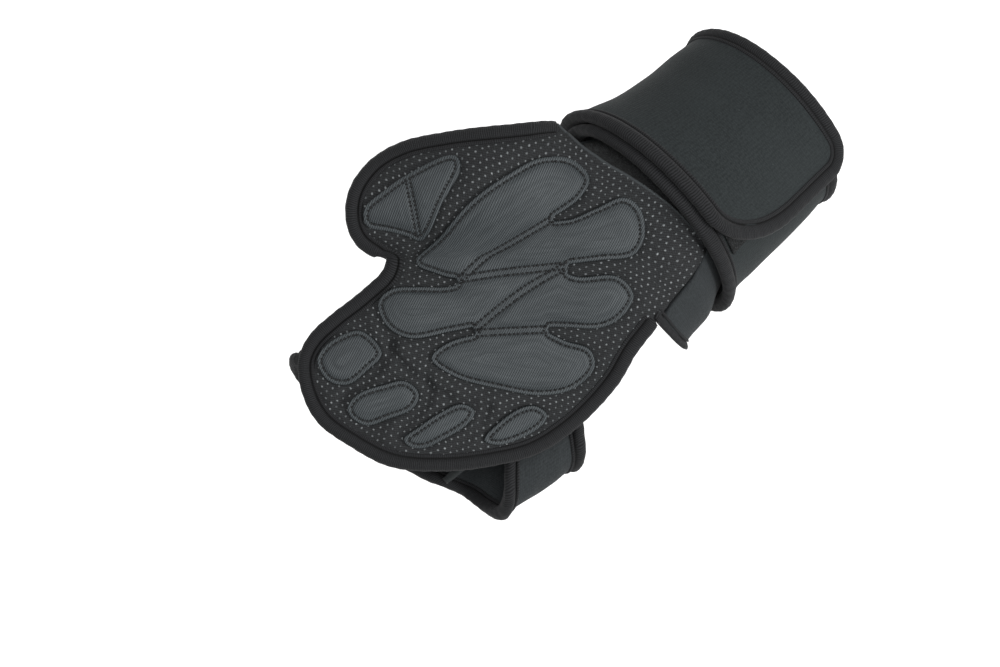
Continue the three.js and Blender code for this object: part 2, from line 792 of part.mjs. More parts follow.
// Wrist strap

// The strap lies on the cloths under it and winds outwards, clear of its own binding. It dips on the
// little-finger side, between the shares of a turn dipMiddle - dipReach and dipMiddle + dipReach.
const strapBase = cuffThickness + clearance + bindingWall + clearance;
const strapPitch = strapThickness + 2 * (clearance + bindingWall) + clearance;
const strapRound = wristBreadth / 2 + strapPitch;

const dipMiddle = 0.72;
const dipReach = 0.27;

function onStrap(along, across, h) {
  const turn = strapStart + along / strapRound / TURN;
  const turns = (turn - strapStart) / 360;
  const s = strapNearEdge - strapShift * Math.max(turns - 0.5, 0) - across;
  const fromDip = Math.min(Math.abs(turns - dipMiddle) / dipReach, 1);
  const wound = turns - strapDip * (1 - fromDip * fromDip) ** 2;
  return onWrist(turn, s, strapBase + strapPitch * wound + h);
}

const strapLength = (strapEnd - strapStart) * TURN * strapRound;
const strapStep = 18;
const cornerSteps = 5;
const STRAP_LINES = [0, 0.08, 0.3, 0.5, 0.7, 0.92, 1];

// How far an edge has drawn in at a distance from the strap's end, at a rounded corner
function drawnIn(left, reach, draw) {
  const share = THREE.MathUtils.clamp(1 - left / reach, 0, 1);
  return draw * (1 - Math.sqrt(1 - share * share));
}

// Stations along the strap, with the places of its two edges across it
const strapStations = [];
function addStation(left) {
  const near = drawnIn(left, strapNearReach, strapNearDraw);
  const far = strapWidth - drawnIn(left, strapFarCorner, strapFarCorner);
  strapStations.push({ along: strapLength - left, near, far });
}
const stepLength = strapStep * TURN * strapRound;
const plainLength = strapLength - strapNearReach;
for (let along = 0; along < plainLength - stepLength / 3; along += stepLength) {
  addStation(strapLength - along);
}
for (let i = 0; i <= cornerSteps; i += 1) {
  addStation(strapNearReach * (1 - Math.sin(i / cornerSteps * Math.PI / 2)));
}
add('wrist_strap', strip(strapStations.length, STRAP_LINES.length - 1, strapThickness, (i, j, h) => {
  const { along, near, far } = strapStations[i];
  return onStrap(along, near + (far - near) * STRAP_LINES[j], h);
}), NEOPRENE);

const nearEdge = strapStations.map(({ along, near }) => new THREE.Vector2(along, near));
const farEdge = strapStations.map(({ along, far }) => new THREE.Vector2(along, far));
const strapEndPlaces = strapStations[strapStations.length - 1];
const endEdge = STRAP_LINES.slice(2, -2).map((share) => new THREE.Vector2(
  strapLength,
  strapEndPlaces.near + (strapEndPlaces.far - strapEndPlaces.near) * share,
));
const strapPath = [...nearEdge, ...endEdge, ...farEdge.reverse()];
add('strap_binding', boundEdge(strapPath, strapThickness, onStrap), RIB);

// Finger band

// The band behind the fingers: rear is its edge by the palm, front its edge by the fingertips. x and
// lean, the shift of the front edge, are shares of the palm's breadth, the edges' places are shares
// of its length, and z is a share of the fingers' depth.
const BAND = [
  { x: -0.515, z: 0.38, rear: 0.53, front: 0.76, lean: 0.049 },
  { x: -0.54, z: 0.08, rear: 0.569, front: 0.805, lean: 0.044 },
  { x: -0.487, z: -0.3, rear: 0.595, front: 0.826, lean: 0.042 },
  { x: -0.394, z: -0.44, rear: 0.615, front: 0.84, lean: 0.035 },
  { x: -0.285, z: -0.3, rear: 0.647, front: 0.871, lean: 0.035 },
  { x: -0.153, z: -0.5, rear: 0.681, front: 0.905, lean: 0.021 },
  { x: -0.028, z: -0.32, rear: 0.716, front: 0.94, lean: 0.014 },
  { x: 0.104, z: -0.53, rear: 0.741, front: 0.966, lean: 0.011 },
  { x: 0.243, z: -0.3, rear: 0.759, front: 0.987, lean: 0 },
  { x: 0.389, z: -0.5, rear: 0.75, front: 0.974, lean: -0.014 },
  { x: 0.493, z: -0.32, rear: 0.741, front: 0.966, lean: -0.014 },
  { x: 0.527, z: 0.04, rear: 0.733, front: 0.948, lean: -0.014 },
  { x: 0.512, z: 0.27, rear: 0.724, front: 0.931, lean: -0.014 },
];
// Where the band's ends are sewn under the palm's edge
const BAND_ENDS = {
  littleRear: { x: -0.425, y: 0.48 },
  littleFront: { x: -0.352, y: 0.685 },
  indexRear: { x: 0.5, y: 0.72 },
  indexFront: { x: 0.49, y: 0.895 },
};
const underPalm = 4.2;

function sewnUnder(row) {
  const point = plan(row);
  return onPalm(point.x, point.y, -underPalm);
}

function bandEdge(name, leanShare, from, to) {
  const points = BAND.map((row) => new THREE.Vector3(
    (row.x + row.lean * leanShare) * palmBreadth,
    row[name] * palmLength,
    row.z * fingerDepth,
  ));
  return new THREE.CatmullRomCurve3([from, ...points, to], false, 'centripetal');
}

// A strip between two edge curves: u is the share of the way along, v the distance over from the
// first edge, h the height over the inner face
function stripBetween(rear, front, side) {
  const widthAt = (u) => rear.getPoint(u).distanceTo(front.getPoint(u));
  const point = (u, v) => rear.getPoint(u).lerp(front.getPoint(u), v / widthAt(u));
  const step = 0.004;
  const place = (u, v, h) => {
    const low = Math.max(u - step, 0);
    const high = Math.min(u + step, 1);
    const along = point(high, v).sub(point(low, v));
    const over = front.getPoint(u).sub(rear.getPoint(u));
    const square = along.cross(over).normalize().multiplyScalar(side);
    return point(u, v).addScaledVector(square, h);
  };
  return { place, widthAt };
}

function addBand(name, rear, front, side, steps, finish) {
  const { place, widthAt } = stripBetween(rear, front, side);
  add(name, strip(steps + 1, 3, bandThickness, (i, j, h) => {
    const width = widthAt(i / steps);
    const lines = [0, bindingReach, width - bindingReach, width];
    return place(i / steps, lines[j], h);
  }), finish);
  const section = bindingSection(bandThickness);
  add(`${name}_front_binding`, swept(steps + 1, section, BINDING_CAPS, (i, x, y) => (
    place(i / steps, widthAt(i / steps) - x, y)
  )), RIB);
  add(`${name}_rear_binding`, swept(steps + 1, section, BINDING_CAPS, (i, x, y) => (
    place(i / steps, x, y)
  )), RIB);
}

const bandSteps = 42;
addBand(
  'finger_band',
  bandEdge('rear', 0, sewnUnder(BAND_ENDS.littleRear), sewnUnder(BAND_ENDS.indexRear)),
  bandEdge('front', 1, sewnUnder(BAND_ENDS.littleFront), sewnUnder(BAND_ENDS.indexFront)),
  -1,
  bandSteps,
  NEOPRENE,
);

// Thumb loop

// The loop behind the thumb hangs from the palm's edges on both sides of the thumb
const THUMB_LOOP = {
  rear: { x: 0.708, y: 0.466, half: 0.135 },
  front: { x: 0.806, y: 0.543, half: 0.15 },
};
const THUMB_LOOP_ENDS = {
  outerRear: { x: 0.855, y: 0.385 },
  outerFront: { x: 0.862, y: 0.49 },
  webRear: { x: 0.625, y: 0.53 },
  webFront: { x: 0.725, y: 0.56 },
};
const THUMB_TURNS = [-12, -45, -90, -135, -168];
const thumbMiddle = 1.5;

function thumbEdge(ring, from, to) {
  const middle = plan(ring);
  const way = plan(THUMB_LOOP.front).sub(plan(THUMB_LOOP.rear)).normalize();
  const points = THUMB_TURNS.map((turn) => {
    const side = Math.cos(turn * TURN) * ring.half * palmBreadth;
    return new THREE.Vector3(
      middle.x + way.y * side,
      middle.y - way.x * side,
      thumbMiddle + Math.sin(turn * TURN) * thumbDepth,
    );
  });
  return new THREE.CatmullRomCurve3([from, ...points, to], false, 'centripetal');
}

const thumbSteps = 20;
addBand(
  'thumb_loop',
  thumbEdge(THUMB_LOOP.rear, sewnUnder(THUMB_LOOP_ENDS.outerRear), sewnUnder(THUMB_LOOP_ENDS.webRear)),
  thumbEdge(THUMB_LOOP.front, sewnUnder(THUMB_LOOP_ENDS.outerFront), sewnUnder(THUMB_LOOP_ENDS.webFront)),
  1,
  thumbSteps,
  NEOPRENE,
);

// Finger dividers

// Each stands in a dip of the finger band and reaches up to the palm's edge. The rows of the band's
// dips give its place and foot; top is the place of its upper front corner along the palm.
const DIVIDERS = [
  { name: 'divider_index', dip: BAND[8], topRear: 0.82, topFront: 0.96 },
  { name: 'divider_middle', dip: BAND[6], topRear: 0.79, topFront: 0.915 },
  { name: 'divider_ring', dip: BAND[4], topRear: 0.66, topFront: 0.775 },
];
const dividerDrop = 1.6;
const dividerSteps = 4;
for (const { name, dip, topRear, topFront } of DIVIDERS) {
  const middle = dip.x + dip.lean * 0.75;
  const foot = { rear: dip.front - 0.12, front: dip.front - 0.012 };
  add(name, strip(dividerSteps + 1, 1, dividerThickness, (i, j, h) => {
    const head = plan({ x: middle, y: j ? topFront : topRear });
    const top = onPalm(head.x, head.y, -dividerDrop);
    const low = dip.z * fingerDepth + clearance + bindingWall + clearance * 2;
    const bottom = new THREE.Vector3(head.x, (j ? foot.front : foot.rear) * palmLength, low);
    const point = bottom.lerp(top, i / dividerSteps);
    return point.setX(head.x + h - dividerThickness / 2);
  }), NEOPRENE);
}

// Loop patch

// The patch that the strap's end fastens to lies on the strap's inner turn
const PATCH_TURNS = [342, 360, 378, 396, 404];
const PATCH_LINES = [0.09, 0.3, 0.5, 0.7, 0.87];
const patchThickness = 0.8;
add('strap_loop_patch', strip(PATCH_TURNS.length, PATCH_LINES.length - 1, patchThickness, (i, j, h) => {
  const along = (PATCH_TURNS[i] - strapStart) * TURN * strapRound;
  return onStrap(along, PATCH_LINES[j] * strapWidth, strapThickness + clearance + h);
}), LOOP_CLOTH);

export default glove;
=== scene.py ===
"""The looks of a right-hand weightlifting glove, palm up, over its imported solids.

Shapes are worked out in millimetres on the glove's own faces and made in metres.
"""
import math

import bmesh
import bpy
import numpy as np
from mathutils import Euler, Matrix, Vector
from mathutils.geometry import delaunay_2d_cdt


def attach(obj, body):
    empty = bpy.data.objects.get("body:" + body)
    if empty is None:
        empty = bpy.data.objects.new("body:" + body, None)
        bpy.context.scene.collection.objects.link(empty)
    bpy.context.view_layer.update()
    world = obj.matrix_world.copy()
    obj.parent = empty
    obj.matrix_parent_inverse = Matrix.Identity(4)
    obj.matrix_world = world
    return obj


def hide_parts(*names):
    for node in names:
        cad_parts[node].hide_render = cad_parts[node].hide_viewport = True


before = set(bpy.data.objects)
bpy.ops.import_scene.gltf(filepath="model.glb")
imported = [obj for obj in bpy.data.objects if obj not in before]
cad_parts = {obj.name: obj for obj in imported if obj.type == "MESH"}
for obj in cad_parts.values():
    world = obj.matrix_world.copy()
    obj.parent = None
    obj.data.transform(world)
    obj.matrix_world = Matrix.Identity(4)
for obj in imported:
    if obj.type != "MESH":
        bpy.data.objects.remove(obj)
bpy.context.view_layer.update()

MM = 0.001

# Sizes of the glove, as in its solids
PALM_LENGTH, PALM_BREADTH, PALM_RISE = 116, 72, 21
THUMB_RISE, THUMB_DEPTH, THUMB_MIDDLE = 22, 11, 1.5
FINGER_DEPTH = 17
WRIST_BREADTH, WRIST_DEPTH = 46.5, 31
WRIST_TILT, WRIST_BEND = math.radians(22), 24
PALM_CLOTH, CUFF_CLOTH, BAND_CLOTH, STRAP_CLOTH = 2.4, 2, 2, 2
LOOP_CLOTH, DIVIDER_CLOTH = 1.1, 2.2
BINDING_WALL, CLEARANCE = 0.65, 0.42
STRAP_WIDTH, STRAP_START, STRAP_END = 52, 198, 765
STRAP_NEAR_REACH, STRAP_NEAR_DRAW, STRAP_FAR_CORNER, STRAP_DIP = 14.5, 26, 8, 0.45
STRAP_NEAR_EDGE, STRAP_SHIFT = 1.8, 2
UNDER_PALM, DIVIDER_DROP = 4.2, 1.6
UNDER_STRAP, CUFF_START, SEAM_GAP = -13, -84, 0.5
OVER_PALM = PALM_CLOTH + CLEARANCE + 0.2
PATCH_SUNK, PATCH_FOOT = 0.35, 0.75
LOOP_LIFT, LOOP_PILE = 0.3, 0.8
CUFF_ROUND, CUFF_DEPTH, HEM_REACH = 150, 30, 36
BAND_DEPTH = 25
FAR = 1e9


# Tables of the glove's faces. at is the way along, the other columns are shares.

def table(names, rows):
    return {name: np.array(values, float) for name, values in zip(names.split(), zip(*rows))}


WRIST = table("at radial ulnar front back", [
    (-1, 0.475, 0.494, 0.494, 0.456),
    (-0.76, 0.48, 0.51, 0.5, 0.465),
    (-0.53, 0.484, 0.526, 0.509, 0.47),
    (-0.28, 0.516, 0.535, 0.53, 0.476),
    (-0.11, 0.576, 0.543, 0.553, 0.485),
    (0.04, 0.632, 0.595, 0.6, 0.51),
    (0.15, 0.774, 0.665, 0.665, 0.535),
    (0.3, 0.882, 0.684, 0.696, 0.515),
    (0.53, 0.946, 0.753, 0.71, 0.5),
])
ARCH = table("at middle half crest", [
    (-0.07, 0.042, 0.5, 0.857),
    (0, 0.049, 0.528, 0.952),
    (0.103, 0.056, 0.569, 1.024),
    (0.224, 0.042, 0.597, 1),
    (0.388, 0.028, 0.611, 0.881),
    (0.56, 0.028, 0.625, 0.786),
    (0.733, 0.042, 0.639, 0.738),
    (0.862, 0.056, 0.653, 0.667),
    (1.034, 0.111, 0.667, 0.5),
])
THUMB = table("at crest curve", [
    (0, 0.864, 0.909),
    (0.35, 1.045, 0.864),
    (0.65, 0.886, 0.705),
    (0.85, 0.705, 0.568),
    (1, 0.568, 0.523),
])
THUMB_ROOT, THUMB_END = (0.306, 0.052), (0.868, 0.586)

# Outlines on the palm, as shares of its breadth and length
PALM_EDGE = [
    (0.545, 0.05), (0.66, 0.155), (0.787, 0.268), (0.879, 0.371), (0.91, 0.46), (0.882, 0.543),
    (0.812, 0.592), (0.735, 0.607), (0.65, 0.595), (0.58, 0.583), (0.542, 0.612), (0.536, 0.7),
    (0.545, 0.79), (0.54, 0.87), (0.5, 0.925), (0.4, 0.967), (0.27, 0.985), (0.13, 0.966),
    (-0.05, 0.92), (-0.2, 0.83), (-0.32, 0.72), (-0.39, 0.63), (-0.415, 0.53), (-0.412, 0.44),
    (-0.388, 0.35), (-0.345, 0.27), (-0.322, 0.2),
]
HEEL_SEAM = [(-0.322, 0.2), (-0.29, 0.121), (-0.262, 0.032), (-0.214, -0.039)]
CUFF_SEAM = [(-0.314, 0.178), *HEEL_SEAM[1:]]
WRIST_SEAM = [
    (-0.214, -0.039), (-0.132, -0.036), (-0.011, -0.03), (0.185, 0), (0.311, 0.025), (0.429, 0.043),
    (0.545, 0.05),
]
LOBES = [
    [(0.481, 0.542), (0.517, 0.505), (0.53, 0.443), (0.542, 0.332), (0.519, 0.221), (0.48, 0.136),
     (0.393, 0.082), (0.287, 0.073), (0.259, 0.122), (0.276, 0.203), (0.297, 0.267), (0.323, 0.354),
     (0.332, 0.433), (0.335, 0.485), (0.414, 0.523)],
    [(0.312, 0.453), (0.308, 0.362), (0.28, 0.267), (0.255, 0.203), (0.216, 0.171), (0.178, 0.099),
     (0.14, 0.039), (0.057, 0.028), (-0.036, 0.065), (-0.055, 0.118), (0.016, 0.186), (0.085, 0.249),
     (0.156, 0.31), (0.249, 0.394)],
    [(0.468, 0.68), (0.472, 0.631), (0.411, 0.576), (0.337, 0.521), (0.303, 0.482), (0.228, 0.405),
     (0.165, 0.336), (0.112, 0.301), (0.112, 0.345), (0.128, 0.392), (0.135, 0.455), (0.142, 0.525),
     (0.194, 0.591), (0.28, 0.679), (0.375, 0.702)],
    [(0.116, 0.522), (0.12, 0.463), (0.11, 0.402), (0.099, 0.341), (0.08, 0.278), (0.02, 0.25),
     (-0.078, 0.177), (-0.176, 0.179), (-0.209, 0.24), (-0.187, 0.294), (-0.096, 0.359),
     (-0.027, 0.409), (0.044, 0.471)],
    [(0.163, 0.671), (0.169, 0.621), (0.126, 0.554), (0.029, 0.479), (-0.055, 0.407), (-0.136, 0.381),
     (-0.225, 0.348), (-0.291, 0.37), (-0.3, 0.448), (-0.236, 0.521), (-0.112, 0.588), (0.045, 0.655)],
]
LOBE_SEAMS = [
    [(0.32, 0.483), (0.322, 0.388), (0.303, 0.298), (0.273, 0.204)],
    [(0.329, 0.488), (0.241, 0.398), (0.151, 0.313), (0.083, 0.253)],
    [(0.135, 0.536), (0.132, 0.457), (0.12, 0.363), (0.088, 0.26)],
    [(0.123, 0.542), (0.04, 0.473), (-0.057, 0.395)],
]
THUMB_PATCH = [
    (0.778, 0.56), (0.806, 0.538), (0.797, 0.484), (0.776, 0.41), (0.722, 0.304), (0.695, 0.287),
    (0.663, 0.292), (0.642, 0.31), (0.608, 0.386), (0.567, 0.46), (0.57, 0.483), (0.607, 0.494),
    (0.681, 0.527), (0.748, 0.561),
]
THUMB_SEAM = [(0.766, 0.413), (0.675, 0.444), (0.586, 0.477)]
PADS = {
    "index_pad": [(0.456, 0.893), (0.478, 0.857), (0.466, 0.799), (0.433, 0.759), (0.367, 0.747),
                  (0.302, 0.755), (0.293, 0.807), (0.301, 0.871), (0.367, 0.903)],
    "middle_pad": [(0.239, 0.908), (0.249, 0.865), (0.208, 0.802), (0.164, 0.755), (0.088, 0.749),
                   (0.058, 0.786), (0.094, 0.854), (0.129, 0.903), (0.2, 0.919)],
    "ring_pad": [(-0.008, 0.855), (-0.011, 0.81), (-0.026, 0.737), (-0.055, 0.685), (-0.112, 0.672),
                 (-0.133, 0.707), (-0.115, 0.782), (-0.091, 0.832), (-0.043, 0.857)],
    "little_pad": [(-0.222, 0.706), (-0.208, 0.645), (-0.22, 0.582), (-0.252, 0.547), (-0.315, 0.54),
                   (-0.33, 0.577), (-0.304, 0.65), (-0.272, 0.688)],
}
CREASES = [
    [(0.338, 0.69), (0.292, 0.745), (0.268, 0.815), (0.278, 0.9), (0.262, 0.94)],
    [(0.127, 0.705), (0.042, 0.745), (0.028, 0.835), (-0.005, 0.89)],
    [(-0.135, 0.64), (-0.17, 0.69), (-0.172, 0.765), (-0.16, 0.83)],
    [(0.43, 0.7), (0.35, 0.717), (0.25, 0.735), (0.12, 0.728), (0.0, 0.7)],
]
BAND = table("x z rear front lean", [
    (-0.515, 0.38, 0.53, 0.76, 0.049),
    (-0.54, 0.08, 0.569, 0.805, 0.044),
    (-0.487, -0.3, 0.595, 0.826, 0.042),
    (-0.394, -0.44, 0.615, 0.84, 0.035),
    (-0.285, -0.3, 0.647, 0.871, 0.035),
    (-0.153, -0.5, 0.681, 0.905, 0.021),
    (-0.028, -0.32, 0.716, 0.94, 0.014),
    (0.104, -0.53, 0.741, 0.966, 0.011),
    (0.243, -0.3, 0.759, 0.987, 0),
    (0.389, -0.5, 0.75, 0.974, -0.014),
    (0.493, -0.32, 0.741, 0.966, -0.014),
    (0.527, 0.04, 0.733, 0.948, -0.014),
    (0.512, 0.27, 0.724, 0.931, -0.014),
])
BAND_ENDS = {
    "little_rear": (-0.425, 0.48), "little_front": (-0.352, 0.685),
    "index_rear": (0.5, 0.72), "index_front": (0.49, 0.895),
}
THUMB_RINGS = {"rear": (0.708, 0.466, 0.135), "front": (0.806, 0.543, 0.15)}
THUMB_LOOP_ENDS = {
    "outer_rear": (0.855, 0.385), "outer_front": (0.862, 0.49),
    "web_rear": (0.625, 0.53), "web_front": (0.725, 0.56),
}
# Row of BAND where a divider stands, then where its top starts and ends on the palm
DIVIDERS = {
    "divider_index": (8, 0.82, 0.96), "divider_middle": (6, 0.79, 0.915), "divider_ring": (4, 0.66, 0.775),
}


# The glove's faces

def column(rows, name, at):
    """A column of a table at places between its rows, on a smooth curve."""
    x, y = rows["at"], rows[name]
    at = np.asarray(at, float)
    a = np.minimum(np.searchsorted(x[1:], at, side="left"), len(x) - 2)
    b, before, after = a + 1, np.maximum(a - 1, 0), np.minimum(a + 2, len(x) - 1)
    span = x[b] - x[a]
    f = np.clip((at - x[a]) / span, 0, 1)
    slope_a = (y[b] - y[before]) / (x[b] - x[before])
    slope_b = (y[after] - y[a]) / (x[after] - x[a])
    rise = y[b] - y[a]
    return y[a] + rise * (3 - 2 * f) * f * f + span * f * (1 - f) * ((1 - f) * slope_a - f * slope_b)


def smooth_step(t):
    f = np.clip(t, 0, 1)
    return f * f * (3 - 2 * f)


def stack(*parts):
    return np.stack(np.broadcast_arrays(*parts), -1)


def wrist_size(positive, negative, sign, s):
    at = np.asarray(s, float) / STRAP_WIDTH
    return np.where(sign > 0, column(WRIST, positive, at), column(WRIST, negative, at))


def wrist_axis(s):
    bent = np.clip(s, 0, WRIST_BEND)
    angle = WRIST_TILT * (1 - bent / WRIST_BEND)
    radius = WRIST_BEND / WRIST_TILT
    behind, beyond = np.minimum(s, 0), np.maximum(s - WRIST_BEND, 0)
    y = radius * (np.sin(WRIST_TILT) - np.sin(angle)) + behind * np.cos(WRIST_TILT) + beyond
    z = radius * (np.cos(angle) - np.cos(WRIST_TILT)) + behind * np.sin(WRIST_TILT)
    return y, z, angle


def on_wrist(turn, s, h):
    """A point of the cuff: turn 0 is the front and 90 the little-finger side, s is the way along."""
    turn, s = np.broadcast_arrays(np.asarray(turn, float), np.asarray(s, float))
    round_ = np.radians(turn)
    side = WRIST_BREADTH * wrist_size("ulnar", "radial", np.sin(round_), s) + h
    rise = WRIST_DEPTH * wrist_size("front", "back", np.cos(round_), s) + h
    y, z, angle = wrist_axis(s)
    up = rise * np.cos(round_)
    return stack(-side * np.sin(round_), y - up * np.sin(angle), z + up * np.cos(angle))


def wrist_under(x, y):
    """Where the front of the cuff lies under a point of the plan."""
    x, y = np.asarray(x, float), np.asarray(y, float)
    s = y + WRIST_DEPTH / 5
    for _ in range(12):
        side = WRIST_BREADTH * wrist_size("ulnar", "radial", -x, s)
        share = np.minimum(np.abs(x) / side, 0.97)
        up = WRIST_DEPTH * column(WRIST, "front", s / STRAP_WIDTH) * np.sqrt(1 - share * share)
        axis_y, axis_z, angle = wrist_axis(s)
        s = s + 0.8 * (y - (axis_y - up * np.sin(angle)))
    axis_y, axis_z, angle = wrist_axis(s)
    turn = -np.sign(x) * np.degrees(np.arcsin(share))
    return turn, s, axis_z + up * np.cos(angle)


def arch_height(x, y):
    at = y / PALM_LENGTH
    share = np.abs(x - PALM_BREADTH * column(ARCH, "middle", at)) / (PALM_BREADTH * column(ARCH, "half", at))
    return PALM_RISE * column(ARCH, "crest", at) * np.sqrt(1 - np.minimum(share, 0.985) ** 2.2)


def thumb_height(x, y):
    start = np.array([THUMB_ROOT[0] * PALM_BREADTH, THUMB_ROOT[1] * PALM_LENGTH])
    way = np.array([THUMB_END[0] * PALM_BREADTH, THUMB_END[1] * PALM_LENGTH]) - start
    length = np.hypot(*way)
    at = ((x - start[0]) * way[0] + (y - start[1]) * way[1]) / length ** 2
    across = ((x - start[0]) * way[1] - (y - start[1]) * way[0]) / length
    on = np.clip(at, 0, 1)
    curve = THUMB_RISE * column(THUMB, "curve", on)
    return THUMB_RISE * column(THUMB, "crest", on) - across ** 2 / (2 * curve) - np.maximum(-at, 0) * length


def palm_height(x, y):
    a, b = arch_height(x, y), thumb_height(x, y)
    f = np.clip(0.5 + (a - b) / 12, 0, 1)
    hand = b + (a - b) * f + 6 * f * (1 - f)
    share = smooth_step((y / PALM_LENGTH + 0.035) / 0.155)
    return (1 - share) * (wrist_under(x, y)[2] + CLEARANCE) + share * hand


def on_palm(x, y, h):
    """A point h over the palm's inner face, square to it."""
    x, y = np.broadcast_arrays(np.asarray(x, float), np.asarray(y, float))
    slope_x = palm_height(x + 0.5, y) - palm_height(x - 0.5, y)
    slope_y = palm_height(x, y + 0.5) - palm_height(x, y - 0.5)
    square = stack(-slope_x, -slope_y, 1.0)
    square = square / np.linalg.norm(square, axis=-1, keepdims=True)
    return stack(x, y, palm_height(x, y)) + square * np.asarray(h, float)[..., None]


STRAP_ROUND = WRIST_BREADTH / 2 + STRAP_CLOTH + 2 * (CLEARANCE + BINDING_WALL) + CLEARANCE
STRAP_BASE = CUFF_CLOTH + CLEARANCE + BINDING_WALL + CLEARANCE
STRAP_PITCH = STRAP_CLOTH + 2 * (CLEARANCE + BINDING_WALL) + CLEARANCE
STRAP_LENGTH = math.radians(STRAP_END - STRAP_START) * STRAP_ROUND


def on_strap(along, across, h):
    """A point of the strap, that winds round the wrist and outwards."""
    turn = STRAP_START + np.degrees(np.asarray(along, float) / STRAP_ROUND)
    turns = (turn - STRAP_START) / 360
    s = STRAP_NEAR_EDGE - STRAP_SHIFT * np.maximum(turns - 0.5, 0) - across
    wound = turns - STRAP_DIP * (1 - np.minimum(np.abs(turns - 0.72) / 0.27, 1) ** 2) ** 2
    return on_wrist(turn, s, STRAP_BASE + STRAP_PITCH * wound + h)


# Lines and outlines

def spline(points, t, closed=False):
    """Points of a centripetal Catmull-Rom curve at shares t of its way."""
    points = np.asarray(points, float)
    count = len(points)
    at = np.asarray(t, float) * (count if closed else count - 1)
    i = np.floor(at).astype(int)
    if not closed:
        i = np.minimum(i, count - 2)
    w = (at - i)[..., None]
    if closed:
        p0, p1, p2, p3 = (points[(i + k) % count] for k in (-1, 0, 1, 2))
    else:
        padded = np.vstack([2 * points[0] - points[1], points, 2 * points[-1] - points[-2]])
        p0, p1, p2, p3 = (padded[i + k] for k in (0, 1, 2, 3))
    pairs = ((p0, p1), (p1, p2), (p2, p3))
    d0, d1, d2 = (np.sqrt(np.linalg.norm(q - p, axis=-1, keepdims=True)) for p, q in pairs)
    t1 = ((p1 - p0) / d0 - (p2 - p0) / (d0 + d1) + (p2 - p1) / d1) * d1
    t2 = ((p2 - p1) / d1 - (p3 - p1) / (d1 + d2) + (p3 - p2) / d2) * d1
    return p1 + t1 * w + (-3 * p1 + 3 * p2 - 2 * t1 - t2) * w ** 2 + (2 * p1 - 2 * p2 + t1 + t2) * w ** 3


def even(points, step, closed=False):
    """The same line with points at even steps."""
    line = np.vstack([points, points[:1]]) if closed else np.asarray(points)
    way = np.concatenate([[0], np.cumsum(np.linalg.norm(np.diff(line, axis=0), axis=1))])
    count = max(int(round(way[-1] / step)), 2)
    at = np.linspace(0, way[-1], count + 1)
    if closed:
        at = at[:-1]
    return np.stack([np.interp(at, way, line[:, k]) for k in range(line.shape[1])], -1)


def planned(rows, step, closed=False):
    """A smooth line on the palm through planned points, in even steps, in millimetres."""
    points = np.array(rows, float) * (PALM_BREADTH, PALM_LENGTH)
    return even(spline(points, np.linspace(0, 1, 24 * len(points)), closed), step, closed)


def inward(line, closed=False):
    """Unit steps to the left of a line, which is in over the cloth."""
    if closed:
        way = np.roll(line, -1, axis=0) - np.roll(line, 1, axis=0)
    else:
        way = np.gradient(line, axis=0)
    way = way / np.linalg.norm(way, axis=1, keepdims=True)
    return np.stack([-way[:, 1], way[:, 0]], -1)


def left_handed(outline):
    """The outline with its inside on its left."""
    x, y = outline[:, 0], outline[:, 1]
    area = np.sum(x * np.roll(y, -1) - y * np.roll(x, -1))
    return outline if area > 0 else outline[::-1]


def line_distance(points, line, closed=False):
    """Distance of points to a line, and the way along it of their nearest places."""
    ends = np.roll(line, -1, axis=0) if closed else line[1:]
    starts = line if closed else line[:-1]
    best = np.full(len(points), FAR)
    way = np.zeros(len(points))
    gone = 0.0
    for a, b in zip(starts, ends):
        d = b - a
        length = np.hypot(*d)
        f = np.clip(((points - a) @ d) / length ** 2, 0, 1)
        away = np.linalg.norm(points - a - f[:, None] * d, axis=1)
        way = np.where(away < best, gone + f * length, way)
        best = np.minimum(best, away)
        gone += length
    return best, way


def inside(points, outline):
    x, y = points[:, 0], points[:, 1]
    within = np.zeros(len(points), bool)
    for a, b in zip(outline, np.roll(outline, -1, axis=0)):
        if a[1] == b[1]:
            continue
        crosses = (a[1] > y) != (b[1] > y)
        within ^= crosses & (x < a[0] + (y - a[1]) * (b[0] - a[0]) / (b[1] - a[1]))
    return within


def depth_inside(points, outline):
    """How far in from an outline points lie, below zero outside."""
    away, _ = line_distance(points, outline, closed=True)
    return np.where(inside(points, outline), away, -away)


def soft_noise(points, size, seed):
    """Smooth seeded noise between about -1 and 1, of a size in the points' unit."""
    rng = np.random.default_rng(seed)
    total = np.zeros(len(points))
    for octave in range(3):
        for _ in range(5):
            way = rng.normal(size=points.shape[1])
            way *= 2 ** octave * 2.2 / (size * np.linalg.norm(way))
            total += np.sin(points @ way + rng.uniform(0, 6.28)) / (1.6 ** octave * 4)
    return total


# Meshes

def make(name, points, faces, cloth, finish, nodes=()):
    """A closed object. cloth holds its points' places on the flat cloth, finish its material and slot. The
    slot is not used.
    """
    material, slot = finish
    mesh = bpy.data.meshes.new(name)
    mesh.from_pydata((np.asarray(points) * MM).tolist(), [], [list(face) for face in faces])
    mesh.attributes.new("cloth", "FLOAT_VECTOR", "POINT")
    mesh.attributes["cloth"].data.foreach_set("vector", np.asarray(cloth, np.float32).ravel())
    shape = bmesh.new()
    shape.from_mesh(mesh)
    bmesh.ops.recalc_face_normals(shape, faces=shape.faces)
    shape.to_mesh(mesh)
    shape.free()
    mesh.polygons.foreach_set("use_smooth", [True] * len(mesh.polygons))
    mesh.materials.append(material)
    obj = bpy.data.objects.new(name, mesh)
    bpy.context.collection.objects.link(obj)
    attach(obj, "root")
    if nodes:
        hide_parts(*nodes)
    return obj


def quads(rows, around, first=0, loop=True):
    """Faces between rings of points, row after row."""
    faces = []
    for i in range(rows - 1):
        for j in range(around if loop else around - 1):
            a, b = first + i * around + j, first + i * around + (j + 1) % around
            faces.append((a, b, b + around, a + around))
    return faces


